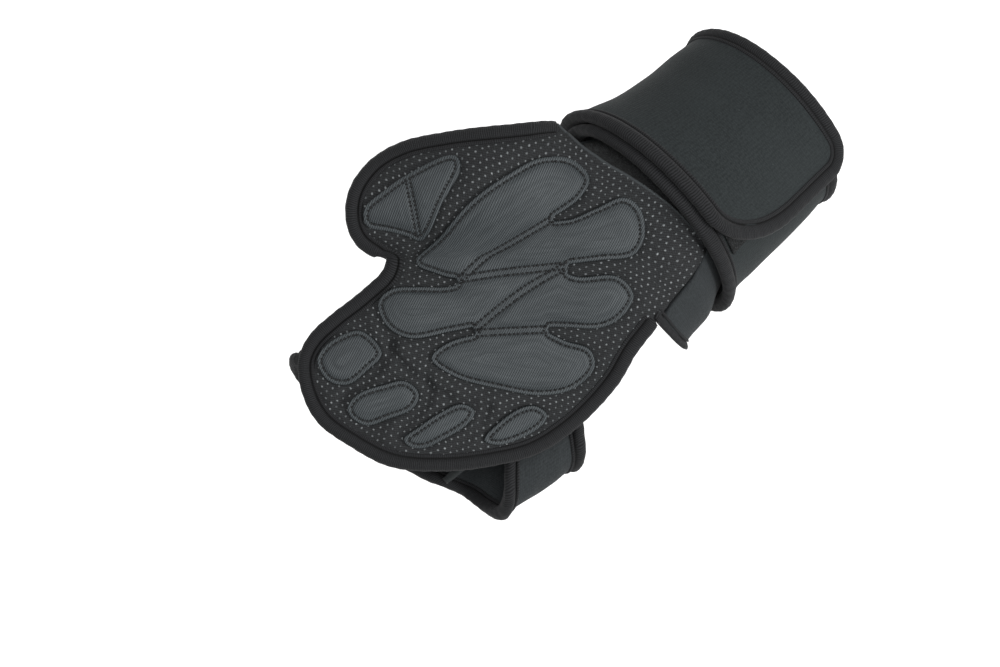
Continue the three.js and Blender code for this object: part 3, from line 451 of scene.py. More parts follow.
def tube_faces(rows, around):
    """Faces of a closed sweep of rows of sections, with its two ends shut."""
    last = (rows - 1) * around
    return quads(rows, around) + [tuple(range(around))[::-1], tuple(range(last, last + around))]


def cloth_strip(name, us, vs, place, thickness, finish, nodes=(), relief=None, lengths=(1, 1)):
    """A strip of cloth on a grid of places, its raw edges across v shut by flat walls."""
    u, v = np.meshgrid(us, vs, indexing="ij")
    rows, width = u.shape
    grow = relief(u, v) if relief else np.zeros_like(u)
    high = place(u, v, thickness + grow)
    low = place(u, v, np.zeros_like(u))
    ring = np.concatenate([high, low[:, ::-1]], axis=1)
    flat_u = np.concatenate([u, u[:, ::-1]], axis=1) * lengths[0]
    flat_v = np.concatenate([v, v[:, ::-1]], axis=1) * lengths[1]
    side = np.concatenate([np.ones_like(u), np.zeros_like(u)], axis=1)
    faces = tube_faces(rows, 2 * width)
    cloth = stack(flat_u, flat_v, side)
    return make(name, ring.reshape(-1, 3), faces, cloth.reshape(-1, 3), finish, nodes)


# Profile of a rolled binding over the cloth: in over the cloth from its edge, height over the cloth
ROLL = [
    (4.1, 0.04), (3.95, 0.4), (3.55, 0.58), (3.15, 0.44), (2.95, 0.06), (2.7, 0.03), (2.45, 0.62),
    (1.95, 1.14), (1.2, 1.42), (0.4, 1.36), (-0.35, 0.98), (-0.98, 0.2),
]
# Corners of the section in the groove between roll and lip, which get painted shade.
SHADED_GROOVE_CORNERS = (4, 5)


def binding_section(thickness, fullness=1.0):
    """The binding's closed section: over the cloth, round its edge and back under it."""
    top = [(x, thickness + y * fullness) for x, y in ROLL]
    low = [(x, -y * fullness) for x, y in ROLL]
    middle = [(-1.15, thickness * 0.5)]
    inner = [(3.85, -0.02), (0.2, -0.06), (0.1, thickness / 2), (0.2, thickness + 0.06)]
    outer = top + middle + low[::-1]
    return np.array(outer), np.array(inner)


def binding(name, place, thickness, node, along, seed, fullness=1.0):
    """Ribbed binding: place(x, y) gives all stations' points of one corner of the section."""
    outer, inner = binding_section(thickness, fullness)
    section = np.vstack([outer, inner])
    way = np.concatenate([[0], np.cumsum(np.linalg.norm(np.diff(section, axis=0), axis=1))])
    swell = 1 + 0.07 * soft_noise(along[:, None], 9, seed) + 0.05 * np.sin(along * 2 * np.pi / 3.4)
    rings = []
    for x, y in section:
        over = y - thickness if y > thickness else y if y < 0 else 0.0
        base = y - over
        outside = x if x < 0 else 0.0
        rings.append(place(x - outside + outside * swell, base + over * swell))
    rings = np.stack(rings, axis=1)
    to_end = np.minimum(along - along[0], along[-1] - along)
    full = np.sqrt(1 - (1 - np.clip((to_end + 0.15) / 1.6, 0, 1)) ** 2)[:, None, None]
    middle = rings.mean(axis=1, keepdims=True)
    rings = middle + (rings - middle) * full
    corners = len(outer)
    # Mark the groove's corners for the painted shade in the rib material.
    groove = np.zeros(len(section))
    groove[[*SHADED_GROOVE_CORNERS, *(corners - 1 - k for k in SHADED_GROOVE_CORNERS)]] = 1
    cloth = stack(along[:, None], way[None, :], groove[None, :])
    faces = tube_faces(len(along), len(section))
    return make(name, rings.reshape(-1, 3), faces, cloth.reshape(-1, 3), RIB, [node])


# A stitch from end to end, in radii of the thread: height over the cloth, girth
STITCH_RISE = (-1.6, 0.35, 0.75, 0.35, -1.6)
STITCH_GIRTH = (0.45, 0.9, 1, 0.9, 0.45)


def stitches(name, rows, pitch=1.32, length=0.95, radius=0.36, lift=0.1):
    """Stitches of thread along rows of (points, square directions)."""
    points, faces, cloth = [], [], []
    for line, square in rows:
        way = np.concatenate([[0], np.cumsum(np.linalg.norm(np.diff(line, axis=0), axis=1))])
        count = int(way[-1] / pitch)
        for k in range(count):
            middle = (k + 0.5 + 0.12 * math.sin(k * 2.7)) * way[-1] / count
            ts = middle + np.linspace(-0.5, 0.5, 5) * length * (1 + 0.15 * math.sin(k * 5.3))
            path = np.stack([np.interp(ts, way, line[:, a]) for a in range(3)], -1)
            up = np.array([np.interp(middle, way, square[:, a]) for a in range(3)])
            up /= np.linalg.norm(up)
            along = path[-1] - path[0]
            along /= max(np.linalg.norm(along), 1e-6)
            side = np.cross(along, up)
            first = len(points)
            for r, (centre, rise, girth) in enumerate(zip(path, STITCH_RISE, STITCH_GIRTH)):
                for a in range(6):
                    angle = a * math.pi / 3
                    out = side * math.cos(angle) + up * math.sin(angle) * 0.8
                    points.append(centre + up * radius * (rise + lift) + out * radius * girth)
                    cloth.append((k, r, 0))
            faces += quads(5, 6, first)
            faces += [tuple(range(first, first + 6))[::-1], tuple(range(first + 24, first + 30))]
    return make(name, points, faces, cloth, THREAD)


def plan_sheet(outlines, keep, spacing, clear, guides=()):
    """Points and triangles of a plan area: fine outlines and guide lines with a regular grid inside."""
    border = np.vstack(outlines)
    low, high = border.min(0), border.max(0)
    xs = np.arange(low[0], high[0] + spacing, spacing)
    ys = np.arange(low[1], high[1] + spacing, spacing * math.sqrt(3) / 2)
    grid = np.array([(x + (spacing / 2 if k % 2 else 0), y) for k, y in enumerate(ys) for x in xs])
    grid = grid[keep(grid)]
    away = np.full(len(grid), FAR)
    for outline in outlines:
        away = np.minimum(away, line_distance(grid, outline, closed=True)[0])
    grid = grid[away > clear]
    if guides:
        grid = grid[np.min([line_distance(grid, line)[0] for line in guides], axis=0) > spacing * 0.5]
        grid = np.vstack([grid, *guides])
    edges, first = [], 0
    for outline in outlines:
        count = len(outline)
        edges += [(first + i, first + (i + 1) % count) for i in range(count)]
        first += count
    points = np.vstack([border, grid])
    out = delaunay_2d_cdt([Vector(p) for p in points.tolist()], edges, [], 0, 1e-6)
    flat = np.array([tuple(p) for p in out[0]])
    faces = np.array(out[2])
    keep_faces = keep(flat[faces].mean(axis=1))
    faces = faces[keep_faces]
    used = np.unique(faces)
    number = np.full(len(flat), -1)
    number[used] = np.arange(len(used))
    return flat[used], number[faces]


def plan_solid(name, flat, faces, low, high, finish, node, depth):
    """A closed sheet over a plan area, from a lower to an upper height. depth goes with its cloth."""
    count = len(flat)
    seen = dict.fromkeys(edge for a, b, c in faces.tolist() for edge in ((a, b), (b, c), (c, a)))
    rim = [(a, b) for a, b in seen if (b, a) not in seen]
    top = on_palm(flat[:, 0], flat[:, 1], high)
    bottom = on_palm(flat[:, 0], flat[:, 1], low)
    solid = faces.tolist() + [(a + count, c + count, b + count) for a, b, c in faces.tolist()]
    solid += [(b, a, a + count, b + count) for a, b in rim]
    cloth = np.vstack([stack(flat[:, 0], flat[:, 1], depth), stack(flat[:, 0], flat[:, 1], 0.0)])
    return make(name, np.vstack([top, bottom]), solid, cloth, finish, [node])


# Materials

SCENE_LIGHT = 1.75


def srgb(*values):
    """A cloth's colour from its 0 to 255 values on screen, under the scene's light."""
    linear = [(v / 255 / 12.92) if v / 255 <= 0.04045 else ((v / 255 + 0.055) / 1.055) ** 2.4 for v in values]
    return (*(v / SCENE_LIGHT for v in linear), 1.0)


class Shader:
    """A material's node tree, with short ways to add to it."""

    def __init__(self, name, roughness, sheen=0.0, sheen_roughness=0.5, gloss=0.2):
        self.material = bpy.data.materials.new(name)
        self.material.use_nodes = True
        self.tree = self.material.node_tree
        self.surface = self.tree.nodes["Principled BSDF"]
        self.surface.inputs["Roughness"].default_value = roughness
        self.surface.inputs["Specular IOR Level"].default_value = gloss
        self.surface.inputs["Sheen Weight"].default_value = sheen
        self.surface.inputs["Sheen Roughness"].default_value = sheen_roughness
        self.cloth = self.node("ShaderNodeAttribute", attribute_name="cloth").outputs["Vector"]

    def node(self, kind, **settings):
        node = self.tree.nodes.new(kind)
        for key, value in settings.items():
            setattr(node, key, value)
        return node

    def put(self, socket, value):
        if isinstance(value, bpy.types.NodeSocket):
            self.tree.links.new(value, socket)
        else:
            socket.default_value = value

    def math(self, operation, a, b=0.0, c=0.0, clamp=False):
        node = self.node("ShaderNodeMath", operation=operation, use_clamp=clamp)
        for socket, value in zip(node.inputs, (a, b, c)):
            self.put(socket, value)
        return node.outputs[0]

    def vector(self, operation, a, b=(0, 0, 0)):
        node = self.node("ShaderNodeVectorMath", operation=operation)
        self.put(node.inputs[0], a)
        if operation == "SCALE":
            self.put(node.inputs["Scale"], b)
        else:
            self.put(node.inputs[1], b)
        return node.outputs["Value" if operation in ("LENGTH", "DOT_PRODUCT") else "Vector"]

    def split(self, vector):
        node = self.node("ShaderNodeSeparateXYZ")
        self.put(node.inputs[0], vector)
        return node.outputs

    def turned(self, vector, degrees, scale=1.0):
        node = self.node("ShaderNodeMapping")
        self.put(node.inputs["Vector"], vector)
        node.inputs["Rotation"].default_value = (0, 0, math.radians(degrees))
        node.inputs["Scale"].default_value = (scale, scale, 1)
        return node.outputs["Vector"]

    def noise(self, vector, scale, detail=2.0, roughness=0.5):
        node = self.node("ShaderNodeTexNoise")
        self.put(node.inputs["Vector"], vector)
        node.inputs["Scale"].default_value = scale
        node.inputs["Detail"].default_value = detail
        node.inputs["Roughness"].default_value = roughness
        return node.outputs["Fac"]

    def wave(self, value, pitch):
        """A smooth wave from 0 to 1 along a value in millimetres."""
        swing = self.math("SINE", self.math("MULTIPLY", value, 2 * math.pi / pitch))
        return self.math("MULTIPLY_ADD", swing, 0.5, 0.5)

    def mix(self, share, a, b):
        node = self.node("ShaderNodeMix", data_type="RGBA")
        self.put(node.inputs[0], share)
        self.put(node.inputs[6], a)
        self.put(node.inputs[7], b)
        return node.outputs[2]

    def between(self, value, low, high, from_=0.0, to=1.0):
        node = self.node("ShaderNodeMapRange")
        for socket, part in zip(node.inputs, (value, low, high, from_, to)):
            self.put(socket, part)
        return node.outputs[0]

    def finish(self, color, height=None, depth=0.0002, strength=1.0, roughness=None):
        self.put(self.surface.inputs["Base Color"], color)
        if roughness is not None:
            self.put(self.surface.inputs["Roughness"], roughness)
        if height is not None:
            bump = self.node("ShaderNodeBump")
            bump.inputs["Strength"].default_value = strength
            bump.inputs["Distance"].default_value = depth
            self.put(bump.inputs["Height"], height)
            self.tree.links.new(bump.outputs["Normal"], self.surface.inputs["Normal"])
        return self.material


def knit_material():
    """Black padded knit with a staggered grid of small glossy dots, and a painted highlight on its fold along
    the wrist seam.
    """
    shader = Shader("palm_knit", 0.8, sheen=0.0, gloss=0.3)
    pitch_x, pitch_y = 2.0, 3.5
    sway = shader.node("ShaderNodeTexNoise")
    shader.put(sway.inputs["Vector"], shader.turned(shader.cloth, 0, 0.1))
    sway.inputs["Scale"].default_value = 1.0
    sway = shader.vector("SCALE", sway.outputs["Color"], 2.5)
    turned = shader.vector("ADD", shader.turned(shader.cloth, 50), sway)
    near = []
    for shift in ((0, 0, 0), (pitch_x / 2, pitch_y / 2, 0)):
        moved = shader.vector("ADD", turned, shift)
        cell = shader.vector("FRACTION", shader.vector("DIVIDE", moved, (pitch_x, pitch_y, 1)))
        centred = shader.vector("SUBTRACT", cell, (0.5, 0.5, 0))
        away = shader.vector("MULTIPLY", centred, (pitch_x, pitch_y, 0))
        near.append(shader.vector("LENGTH", away))
    worn = shader.noise(shader.cloth, 3.2, 2, 0.7)
    nearest = shader.math("MULTIPLY_ADD", worn, 0.34, shader.math("MINIMUM", *near))
    size = shader.math("MULTIPLY_ADD", shader.noise(shader.cloth, 0.9, 1), 0.2, 0.38)
    dot = shader.between(nearest, shader.math("ADD", size, 0.08), shader.math("SUBTRACT", size, 0.12))
    rows = shader.split(shader.turned(shader.cloth, 50))
    loops = shader.math("MULTIPLY", shader.wave(rows[0], 0.62), shader.wave(rows[1], 0.46))
    fuzz = shader.noise(shader.cloth, 2.6, 3, 0.7)
    loops = shader.math("MULTIPLY_ADD", fuzz, 0.9, shader.math("MULTIPLY", loops, 0.5))
    ground = shader.mix(shader.between(loops, 0.3, 0.95), srgb(4, 4, 5), srgb(50, 53, 55))
    faint = shader.noise(shader.cloth, 0.5, 2)
    bright = shader.mix(shader.between(faint, 0.35, 0.65), srgb(78, 82, 84), srgb(138, 142, 144))
    color = shader.mix(dot, ground, bright)
    # Painted highlight: the knit turns lighter within half a millimetre of the wrist seam, where its folded
    # edge catches the light.
    seam = shader.split(shader.cloth)[2]
    color = shader.mix(shader.between(seam, 0.75, 0.5, 0.0, 0.8), color, srgb(64, 69, 71))
    height = shader.math("MULTIPLY_ADD", dot, 1.5, shader.math("MULTIPLY", loops, 0.6))
    return shader.finish(color, height, 0.0002, 0.9, shader.between(dot, 0.0, 1.0, 0.85, 0.3))


def grip_material():
    """Grey grip cloth with a fine twill weave, with painted shade in its stitched grooves and at its outer
    rim.
    """
    shader = Shader("grip", 0.62, sheen=0.0, gloss=0.22)
    lines = shader.split(shader.turned(shader.cloth, -2))
    twill = shader.wave(shader.math("MULTIPLY_ADD", lines[1], 0.35, lines[0]), 0.66)
    weft = shader.wave(lines[1], 0.55)
    weave = shader.math("MULTIPLY_ADD", twill, 0.75, shader.math("MULTIPLY", weft, 0.25))
    patchy = shader.between(shader.noise(shader.turned(shader.cloth, 20, 0.09), 1.0, 3), 0.3, 0.7)
    light = shader.mix(patchy, srgb(74, 80, 83), srgb(98, 104, 107))
    dark = shader.mix(patchy, srgb(30, 34, 36), srgb(22, 26, 28))
    color = shader.mix(weave, dark, light)
    depth = shader.split(shader.cloth)[2]
    # Painted shade: the cloth turns near black in the grooves along the stitch rows, where depth is near
    # STITCH_IN.
    groove = shader.math("ABSOLUTE", shader.math("SUBTRACT", depth, 1.4))
    color = shader.mix(shader.between(groove, 0.42, 0.1, 0.0, 0.55), color, srgb(18, 20, 21))
    # Painted shade on the patch's outermost rim, its sides and its underside, where it meets the knit.
    color = shader.mix(shader.between(depth, 0.22, 0.02, 0.0, 0.8), color, srgb(14, 16, 17))
    grain = shader.noise(shader.cloth, 2.4, 2)
    height = shader.math("MULTIPLY_ADD", grain, 0.4, weave)
    return shader.finish(color, height, 0.00011, 0.8)


def rib_material():
    """Dark ribbed binding, its ribs square to the edge, with painted shade in the groove between its roll and
    lip.
    """
    shader = Shader("rib", 0.85, sheen=0.03, gloss=0.15)
    place = shader.split(shader.cloth)
    sway = shader.noise(shader.turned(shader.cloth, 0, 0.35), 1.0, 2)
    rib = shader.wave(shader.math("MULTIPLY_ADD", sway, 0.9, place[0]), 0.56)
    knit = shader.wave(place[1], 0.42)
    fuzz = shader.noise(shader.cloth, 3.0, 3, 0.7)
    loops = shader.math("MULTIPLY_ADD", knit, 0.15, shader.math("MULTIPLY", fuzz, 0.5))
    relief = shader.math("MULTIPLY_ADD", rib, 0.55, loops)
    color = shader.mix(shader.between(relief, 0.25, 0.95), srgb(5, 5, 6), srgb(50, 51, 53))
    # Painted shade: the groove between the binding's roll and its lip turns near black.
    groove = shader.split(shader.cloth)[2]
    color = shader.mix(shader.math("MULTIPLY", groove, 0.9), color, srgb(4, 4, 4))
    return shader.finish(color, relief, 0.00014, 0.8)


def neoprene_material(name, low, high, mesh_pitch, lint):
    """Matt cloth-faced foam with a faint jersey grid and specks of lint."""
    shader = Shader(name, 0.84, sheen=0.03, sheen_roughness=0.4, gloss=0.12)
    place = shader.split(shader.cloth)
    grid = shader.math("MULTIPLY", shader.wave(place[0], mesh_pitch), shader.wave(place[1], mesh_pitch * 0.8))
    grain = shader.noise(shader.cloth, 1.7, 4, 0.65)
    fine = shader.noise(shader.cloth, 5.5, 2)
    broad = shader.noise(shader.turned(shader.cloth, 0, 0.05), 1.0, 3)
    color = shader.mix(shader.between(grain, 0.3, 0.7), srgb(*low), srgb(*high))
    color = shader.mix(shader.between(broad, 0.3, 0.7, 0.0, 0.4), color, srgb(*high))
    color = shader.mix(shader.math("MULTIPLY", grid, 0.3), color, srgb(*(v + 14 for v in high)))
    cells = shader.node("ShaderNodeTexVoronoi", feature="F1")
    shader.put(cells.inputs["Vector"], shader.cloth)
    cells.inputs["Scale"].default_value = 0.55
    speck = shader.between(cells.outputs["Distance"], 0.13, 0.05)
    chosen = shader.between(shader.split(cells.outputs["Color"])[0], 1 - lint, 1 - lint + 0.05)
    color = shader.mix(shader.math("MULTIPLY", speck, chosen), color, srgb(88, 94, 95))
    rough = shader.math("MULTIPLY_ADD", fine, 0.5, grain)
    height = shader.math("ADD", shader.math("MULTIPLY", grid, 0.5), rough)
    return shader.finish(color, height, 0.00014, 0.7)


def loop_material():
    """Black brushed loop cloth."""
    shader = Shader("loop_cloth", 0.95, sheen=0.03, sheen_roughness=0.6, gloss=0.08)
    fuzz = shader.noise(shader.cloth, 2.2, 5, 0.75)
    curl = shader.noise(shader.cloth, 0.7, 3)
    color = shader.mix(shader.between(fuzz, 0.42, 0.66), srgb(4, 4, 4), srgb(66, 69, 70))
    return shader.finish(color, shader.math("MULTIPLY_ADD", curl, 0.7, fuzz), 0.0009, 1.0)


def thread_material():
    """Black sewing thread."""
    shader = Shader("thread", 0.5, sheen=0.02, gloss=0.25)
    twist = shader.noise(shader.node("ShaderNodeTexCoord").outputs["Object"], 5000, 2)
    return shader.finish(shader.mix(twist, srgb(6, 6, 7), srgb(24, 24, 25)), twist, 0.00005, 0.5)


# Each material with the record's slot that it stands for
KNIT = knit_material(), "palm_knit"
GRIP = grip_material(), "grip"
RIB = rib_material(), "rib"
FLAP = neoprene_material("wrap_foam", (28, 32, 33), (50, 55, 56), 0.9, 0.06), "neoprene"
JERSEY = neoprene_material("cuff_foam", (34, 37, 38), (58, 62, 64), 0.75, 0.03), "neoprene"
LOOP = loop_material(), "loop_cloth"
THREAD = thread_material(), "rib"


# Palm

palm_edge = planned(PALM_EDGE, 0.9)
heel_seam = planned(HEEL_SEAM, 0.9)
wrist_seam = planned(WRIST_SEAM, 0.9)
palm_outline = np.vstack([palm_edge, heel_seam[1:], wrist_seam[1:-1]])

lobes = [left_handed(planned(rows, 0.8, closed=True)) for rows in LOBES]
lobe_seams = [planned(rows, 0.8) for rows in LOBE_SEAMS]
thumb_outline = left_handed(planned(THUMB_PATCH, 0.8, closed=True))
thumb_seam = planned(THUMB_SEAM, 0.8)
pads = {name: left_handed(planned(rows, 0.8, closed=True)) for name, rows in PADS.items()}
SEAM_HALF = 1.9
STITCH_IN = 1.4
ROW_APART = 0.95
EDGE_GUIDES = (0.12, 0.3, 0.7, 1.1, 1.4, 1.7, 2.2)
SEAM_GUIDES = (-1.8, -1.25, -0.95, -0.6, 0, 0.6, 0.95, 1.25, 1.8)
PALM_GUIDES = (0.35, 0.8, 1.3, 1.8)
CREASE_DEPTH, CREASE_WIDTH, CREASE_SHOULDER = 1.35, 1.2, 0.25


def band_outline(line):
    side = inward(line) * SEAM_HALF
    return np.vstack([line - side, (line + side)[::-1]])


def rim_loop(flat, faces):
    """The longest closed line round a plan area."""
    edges = {(a, b) for face in faces.tolist() for a, b in zip(face, face[1:] + face[:1])}
    onward = {a: b for a, b in edges if (b, a) not in edges}
    best = []
    while onward:
        first, at = onward.popitem()
        loop = [first]
        while at != first and at in onward:
            loop.append(at)
            at = onward.pop(at)
        best = max(best, loop, key=len)
    return flat[best]


def rounded(outline, reach):
    """A closed line with its sharp corners worn round."""
    line = even(outline, 0.4, closed=True)
    for _ in range(int(reach / 0.4) ** 2):
        line = (np.roll(line, 1, axis=0) + 2 * line + np.roll(line, -1, axis=0)) / 4
    return even(line, 0.7, closed=True)


class Patch:
    """A grip patch: puffed areas in one outline, with sunken seams between them."""

    def __init__(self, areas, seams, puff, apart=ROW_APART, wear=1.1):
        bands = [band_outline(line) for line in seams] if len(areas) > 1 else []
        outlines = [*areas, *bands]

        def keep(points):
            return np.any([inside(points, outline) for outline in outlines], axis=0)

        self.outline = left_handed(rounded(rim_loop(*plan_sheet(outlines, keep, 2.5, 0.8)), wear))
        self.seams, self.puff, self.apart = seams, puff, apart

    def seam_distance(self, points):
        away = np.full(len(points), FAR)
        for line in self.seams:
            away = np.minimum(away, line_distance(points, line)[0])
        return away

    def height(self, points):
        """Height of the patch's face over its lower face."""
        d = depth_inside(points, self.outline)
        across = self.seam_distance(points)
        edge = np.sqrt(np.clip(1 - (1 - np.clip(d / 0.4, 0, 1)) ** 2, 0, 1))
        groove = 0.26 * np.exp(-((d - STITCH_IN) / 0.36) ** 2)
        groove = np.maximum(groove, 0.24 * np.exp(-((across - self.apart) / 0.32) ** 2))
        from_edge = 1 - np.exp(-np.clip(d - STITCH_IN, 0, None) / 1.7)
        from_seam = 1 - np.exp(-np.clip(across - self.apart, 0, None) / 1.5)
        return 1.0 * edge - groove + self.puff * from_edge * from_seam

    def guide_lines(self):
        """Lines along which the patch's face bends sharply."""
        lines = []
        for distance in EDGE_GUIDES:
            line = self.outline + inward(self.outline, closed=True) * distance
            lines.append(line[depth_inside(line, self.outline) > distance - 0.06])
        for seam in self.seams:
            line = even(seam, 0.8)
            side = inward(line)
            lines += [line + side * distance for distance in SEAM_GUIDES]
        return lines

    def stitch_lines(self):
        """Rows of stitches in from the outer edge and along both sides of the seams."""
        line = self.outline + inward(self.outline, closed=True) * STITCH_IN
        line = line[depth_inside(line, self.outline) > STITCH_IN - 0.1]
        lines = [np.vstack([line, line[:1]])]
        for seam in self.seams:
            side = inward(seam) * self.apart
            lines += [seam - side, seam + side]
        return lines


grip_patch = Patch(lobes, lobe_seams, 0.9)
thumb_patch = Patch([thumb_outline], [thumb_seam], 0.6, 0.65)
pad_patches = {name: Patch([outline], [], 0.7) for name, outline in pads.items()}
all_patches = {"grip_patch": grip_patch, "thumb_patch": thumb_patch, **pad_patches}


crease_lines = [planned(rows, 1.5) for rows in CREASES]


def palm_relief(points):
    """How the padded knit swells between the patches and the seams that hold it down."""
    away = np.full(len(points), FAR)
    for patch in all_patches.values():
        away = np.minimum(away, -depth_inside(points, patch.outline))
    edge, _ = line_distance(points, palm_outline, closed=True)
    swell = 1.05 * (1 - np.exp(-np.clip(away, 0, None) / 1.9)) - 0.15
    swell = swell * smooth_step((edge - 3.4) / 2.5)
    under = away < 0
    wrinkle = 0.4 * soft_noise(points, 7, 5) * smooth_step((edge - 3) / 4)
    for line in crease_lines:
        aside, _ = line_distance(points, line)
        shoulder = CREASE_SHOULDER * np.exp(-((aside - 2.8) / 1.3) ** 2)
        fold = shoulder - CREASE_DEPTH * np.exp(-(aside / CREASE_WIDTH) ** 2)
        wrinkle = wrinkle + fold * smooth_step((edge - 4.5) / 4)
    return np.where(under, -0.15, swell + wrinkle * smooth_step(away / 2))


seam_in = inward(wrist_seam)
seam_guides = [wrist_seam[1:-1] + seam_in[1:-1] * distance for distance in PALM_GUIDES]
flat, faces = plan_sheet([palm_outline], lambda p: inside(p, palm_outline), 1.25, 0.7, seam_guides)
relief = palm_relief(flat)
from_seam, _ = line_distance(flat, wrist_seam)
relief = relief + 0.35 * np.exp(-((from_seam - 0.3) / 0.5) ** 2)
relief = relief - 0.3 * np.exp(-((from_seam - 1.5) / 0.5) ** 2)
# The cloth's third value is the distance from the wrist seam, which places the painted highlight on the fold
# there.
palm_panel = plan_solid("palm_cloth", flat, faces, np.zeros(len(flat)), PALM_CLOTH + relief, KNIT,
                        "palm_panel", np.minimum(from_seam, 1.0))

palm_edge = np.vstack([palm_edge, heel_seam[1:4]])
edge_in = inward(palm_edge)
edge_way = np.concatenate([[0], np.cumsum(np.linalg.norm(np.diff(palm_edge, axis=0), axis=1))])


def palm_binding_place(x, y):
    at = palm_edge + edge_in * np.broadcast_to(x, len(palm_edge))[:, None]
    return on_palm(at[:, 0], at[:, 1], y)


binding("palm_edge_binding", palm_binding_place, PALM_CLOTH, "palm_binding", edge_way, seed=2)


# Grip patches and their stitches

def square_at(line):
    """Directions square to the palm along a line of the plan."""
    return on_palm(line[:, 0], line[:, 1], 1.0) - on_palm(line[:, 0], line[:, 1], 0.0)


for name, patch in all_patches.items():
    flat, faces = plan_sheet([patch.outline], lambda p: inside(p, patch.outline), 0.95, 0.1,
                             patch.guide_lines())
    height = np.maximum(patch.height(flat), 0.12)
    height = height + 0.06 * soft_noise(flat, 5, 11) * smooth_step((height - 1) / 0.5)
    low = np.full(len(flat), OVER_PALM - PATCH_FOOT)
    # depth, the way in from the rim or from the nearest stitch row, places the painted shade in the grip
    # material.
    from_seams = patch.seam_distance(flat) + STITCH_IN - patch.apart
    depth = np.minimum(depth_inside(flat, patch.outline), from_seams)
    obj = plan_solid(f"{name}_cloth", flat, faces, low, OVER_PALM - PATCH_SUNK + height, GRIP, name, depth)
    rows = []
    for line in patch.stitch_lines():
        line = even(line, 0.35)
        level = OVER_PALM - PATCH_SUNK + patch.height(line)
        rows.append((on_palm(line[:, 0], line[:, 1], level), square_at(line)))
    stitches(f"{name}_stitches", rows)


# Cuff and loop cloth at the wrist

def seam_on_wrist(rows, step):
    points = planned(rows, step)
    turn, s, _ = wrist_under(points[:, 0], points[:, 1])
    shift = on_palm(points[:, 0], points[:, 1], 0.0) - on_wrist(turn, s, 0.0)
    return turn, s, shift


seam_turn, seam_s, seam_shift = seam_on_wrist(WRIST_SEAM[::-1], 1.2)
near_seam = np.linalg.norm(seam_shift, axis=1) < 2
loop_turn = np.concatenate([[CUFF_START], seam_turn[near_seam]])
loop_s = np.concatenate([[STRAP_NEAR_EDGE], seam_s[near_seam]])
loop_shift = np.vstack([np.zeros(3), seam_shift[near_seam]])
first_gap = np.linspace(0, 1, 12)[:-1]
loop_at = np.concatenate([first_gap, np.arange(1, len(loop_turn))])


def loop_place(u, v, h):
    index = np.arange(len(loop_turn))
    turn = np.interp(u, index, loop_turn)
    start = np.interp(u, index, loop_s) - SEAM_GAP
    shift = stack(*(np.interp(u, index, loop_shift[:, k]) for k in range(3)))
    share = v ** 2
    return on_wrist(turn, start + (UNDER_STRAP - start) * share, h) + shift * ((1 - share) ** 3)[..., None]


loop_panel = cloth_strip("wrist_loop_cloth", loop_at, np.linspace(0, 1, 16), loop_place, LOOP_CLOTH,
                         LOOP, ["loop_panel"], lambda u, v: 0.25 * np.sin(u * 0.9 + v * 3) ** 2,
                         (1.2, 24))

heel_turn, heel_s, heel_shift = seam_on_wrist(CUFF_SEAM, 1.2)
heel_turn = np.append(heel_turn, heel_turn[-1])
heel_s = np.append(heel_s, UNDER_STRAP)
heel_shift = np.vstack([heel_shift, np.zeros(3)])
CUFF_ROWS = 6
heel_index = np.concatenate([np.linspace(0, CUFF_ROWS, len(heel_turn) - 1), [CUFF_ROWS + 1]])
HEM_AT_BACK, HEM_AT_THUMB, SEAM_TURN_GAP = 15, 6, 1.4
CUFF_END = 360 + CUFF_START - SEAM_TURN_GAP


def on_cuff(u, v, h):
    """u is the share of the way round, v of the way from the hem in under the strap."""
    along = np.asarray(v, float) * (CUFF_ROWS + 1)
    turn = np.interp(along, heel_index, heel_turn) + SEAM_TURN_GAP
    s = np.interp(along, heel_index, heel_s)
    shift = stack(*(np.interp(along, heel_index, heel_shift[:, k]) for k in range(3)))
    hem = heel_s[0]
    first = hem + (HEM_AT_BACK - hem) * smooth_step(u * 2)
    second = HEM_AT_BACK + (HEM_AT_THUMB - HEM_AT_BACK) * smooth_step(u * 2 - 1)
    back_hem = np.where(u < 0.5, first, second)
    share = (s - UNDER_STRAP) / (hem - UNDER_STRAP)
    fade = 1 - smooth_step(u * 5)
    point = on_wrist(turn + (CUFF_END - turn) * u, UNDER_STRAP + (back_hem - UNDER_STRAP) * share, h)
    return point + shift * np.asarray(fade)[..., None]


def cuff_relief(u, v):
    points = np.stack([u.ravel() * CUFF_ROUND, v.ravel() * CUFF_DEPTH], -1)
    return 0.12 * soft_noise(points, 12, 8).reshape(u.shape)


back_cuff = cloth_strip("cuff_cloth", np.linspace(0, 1, 110), np.linspace(0, 1, 24), on_cuff, CUFF_CLOTH,
                        JERSEY, ["back_cuff"], cuff_relief, (CUFF_ROUND, CUFF_DEPTH))
cuff_u = np.linspace(-0.03, 1.004, 154)
binding("cuff_hem_binding", lambda x, y: on_cuff(cuff_u, np.broadcast_to(x / HEM_REACH, cuff_u.shape), y),
        CUFF_CLOTH, "cuff_hem", (cuff_u - cuff_u[0]) * CUFF_ROUND, seed=4, fullness=0.95)


# Wrist strap

def strap_relief(u, v):
    """Slow waves of the wound foam, and its swell between the bindings."""
    points = np.stack([u.ravel(), v.ravel()], -1)
    edge = np.minimum(np.minimum(v, STRAP_WIDTH - v), STRAP_LENGTH - u)
    swell = 0.35 * smooth_step((edge - 3.5) / 9)
    return swell + 0.1 * soft_noise(points, 16, 9).reshape(u.shape) * smooth_step((edge - 3) / 6)


def drawn_in(left, reach, draw):
    """How far an edge has drawn in at a distance from the strap's end."""
    return draw * (1 - np.sqrt(1 - np.clip(1 - left / reach, 0, 1) ** 2))


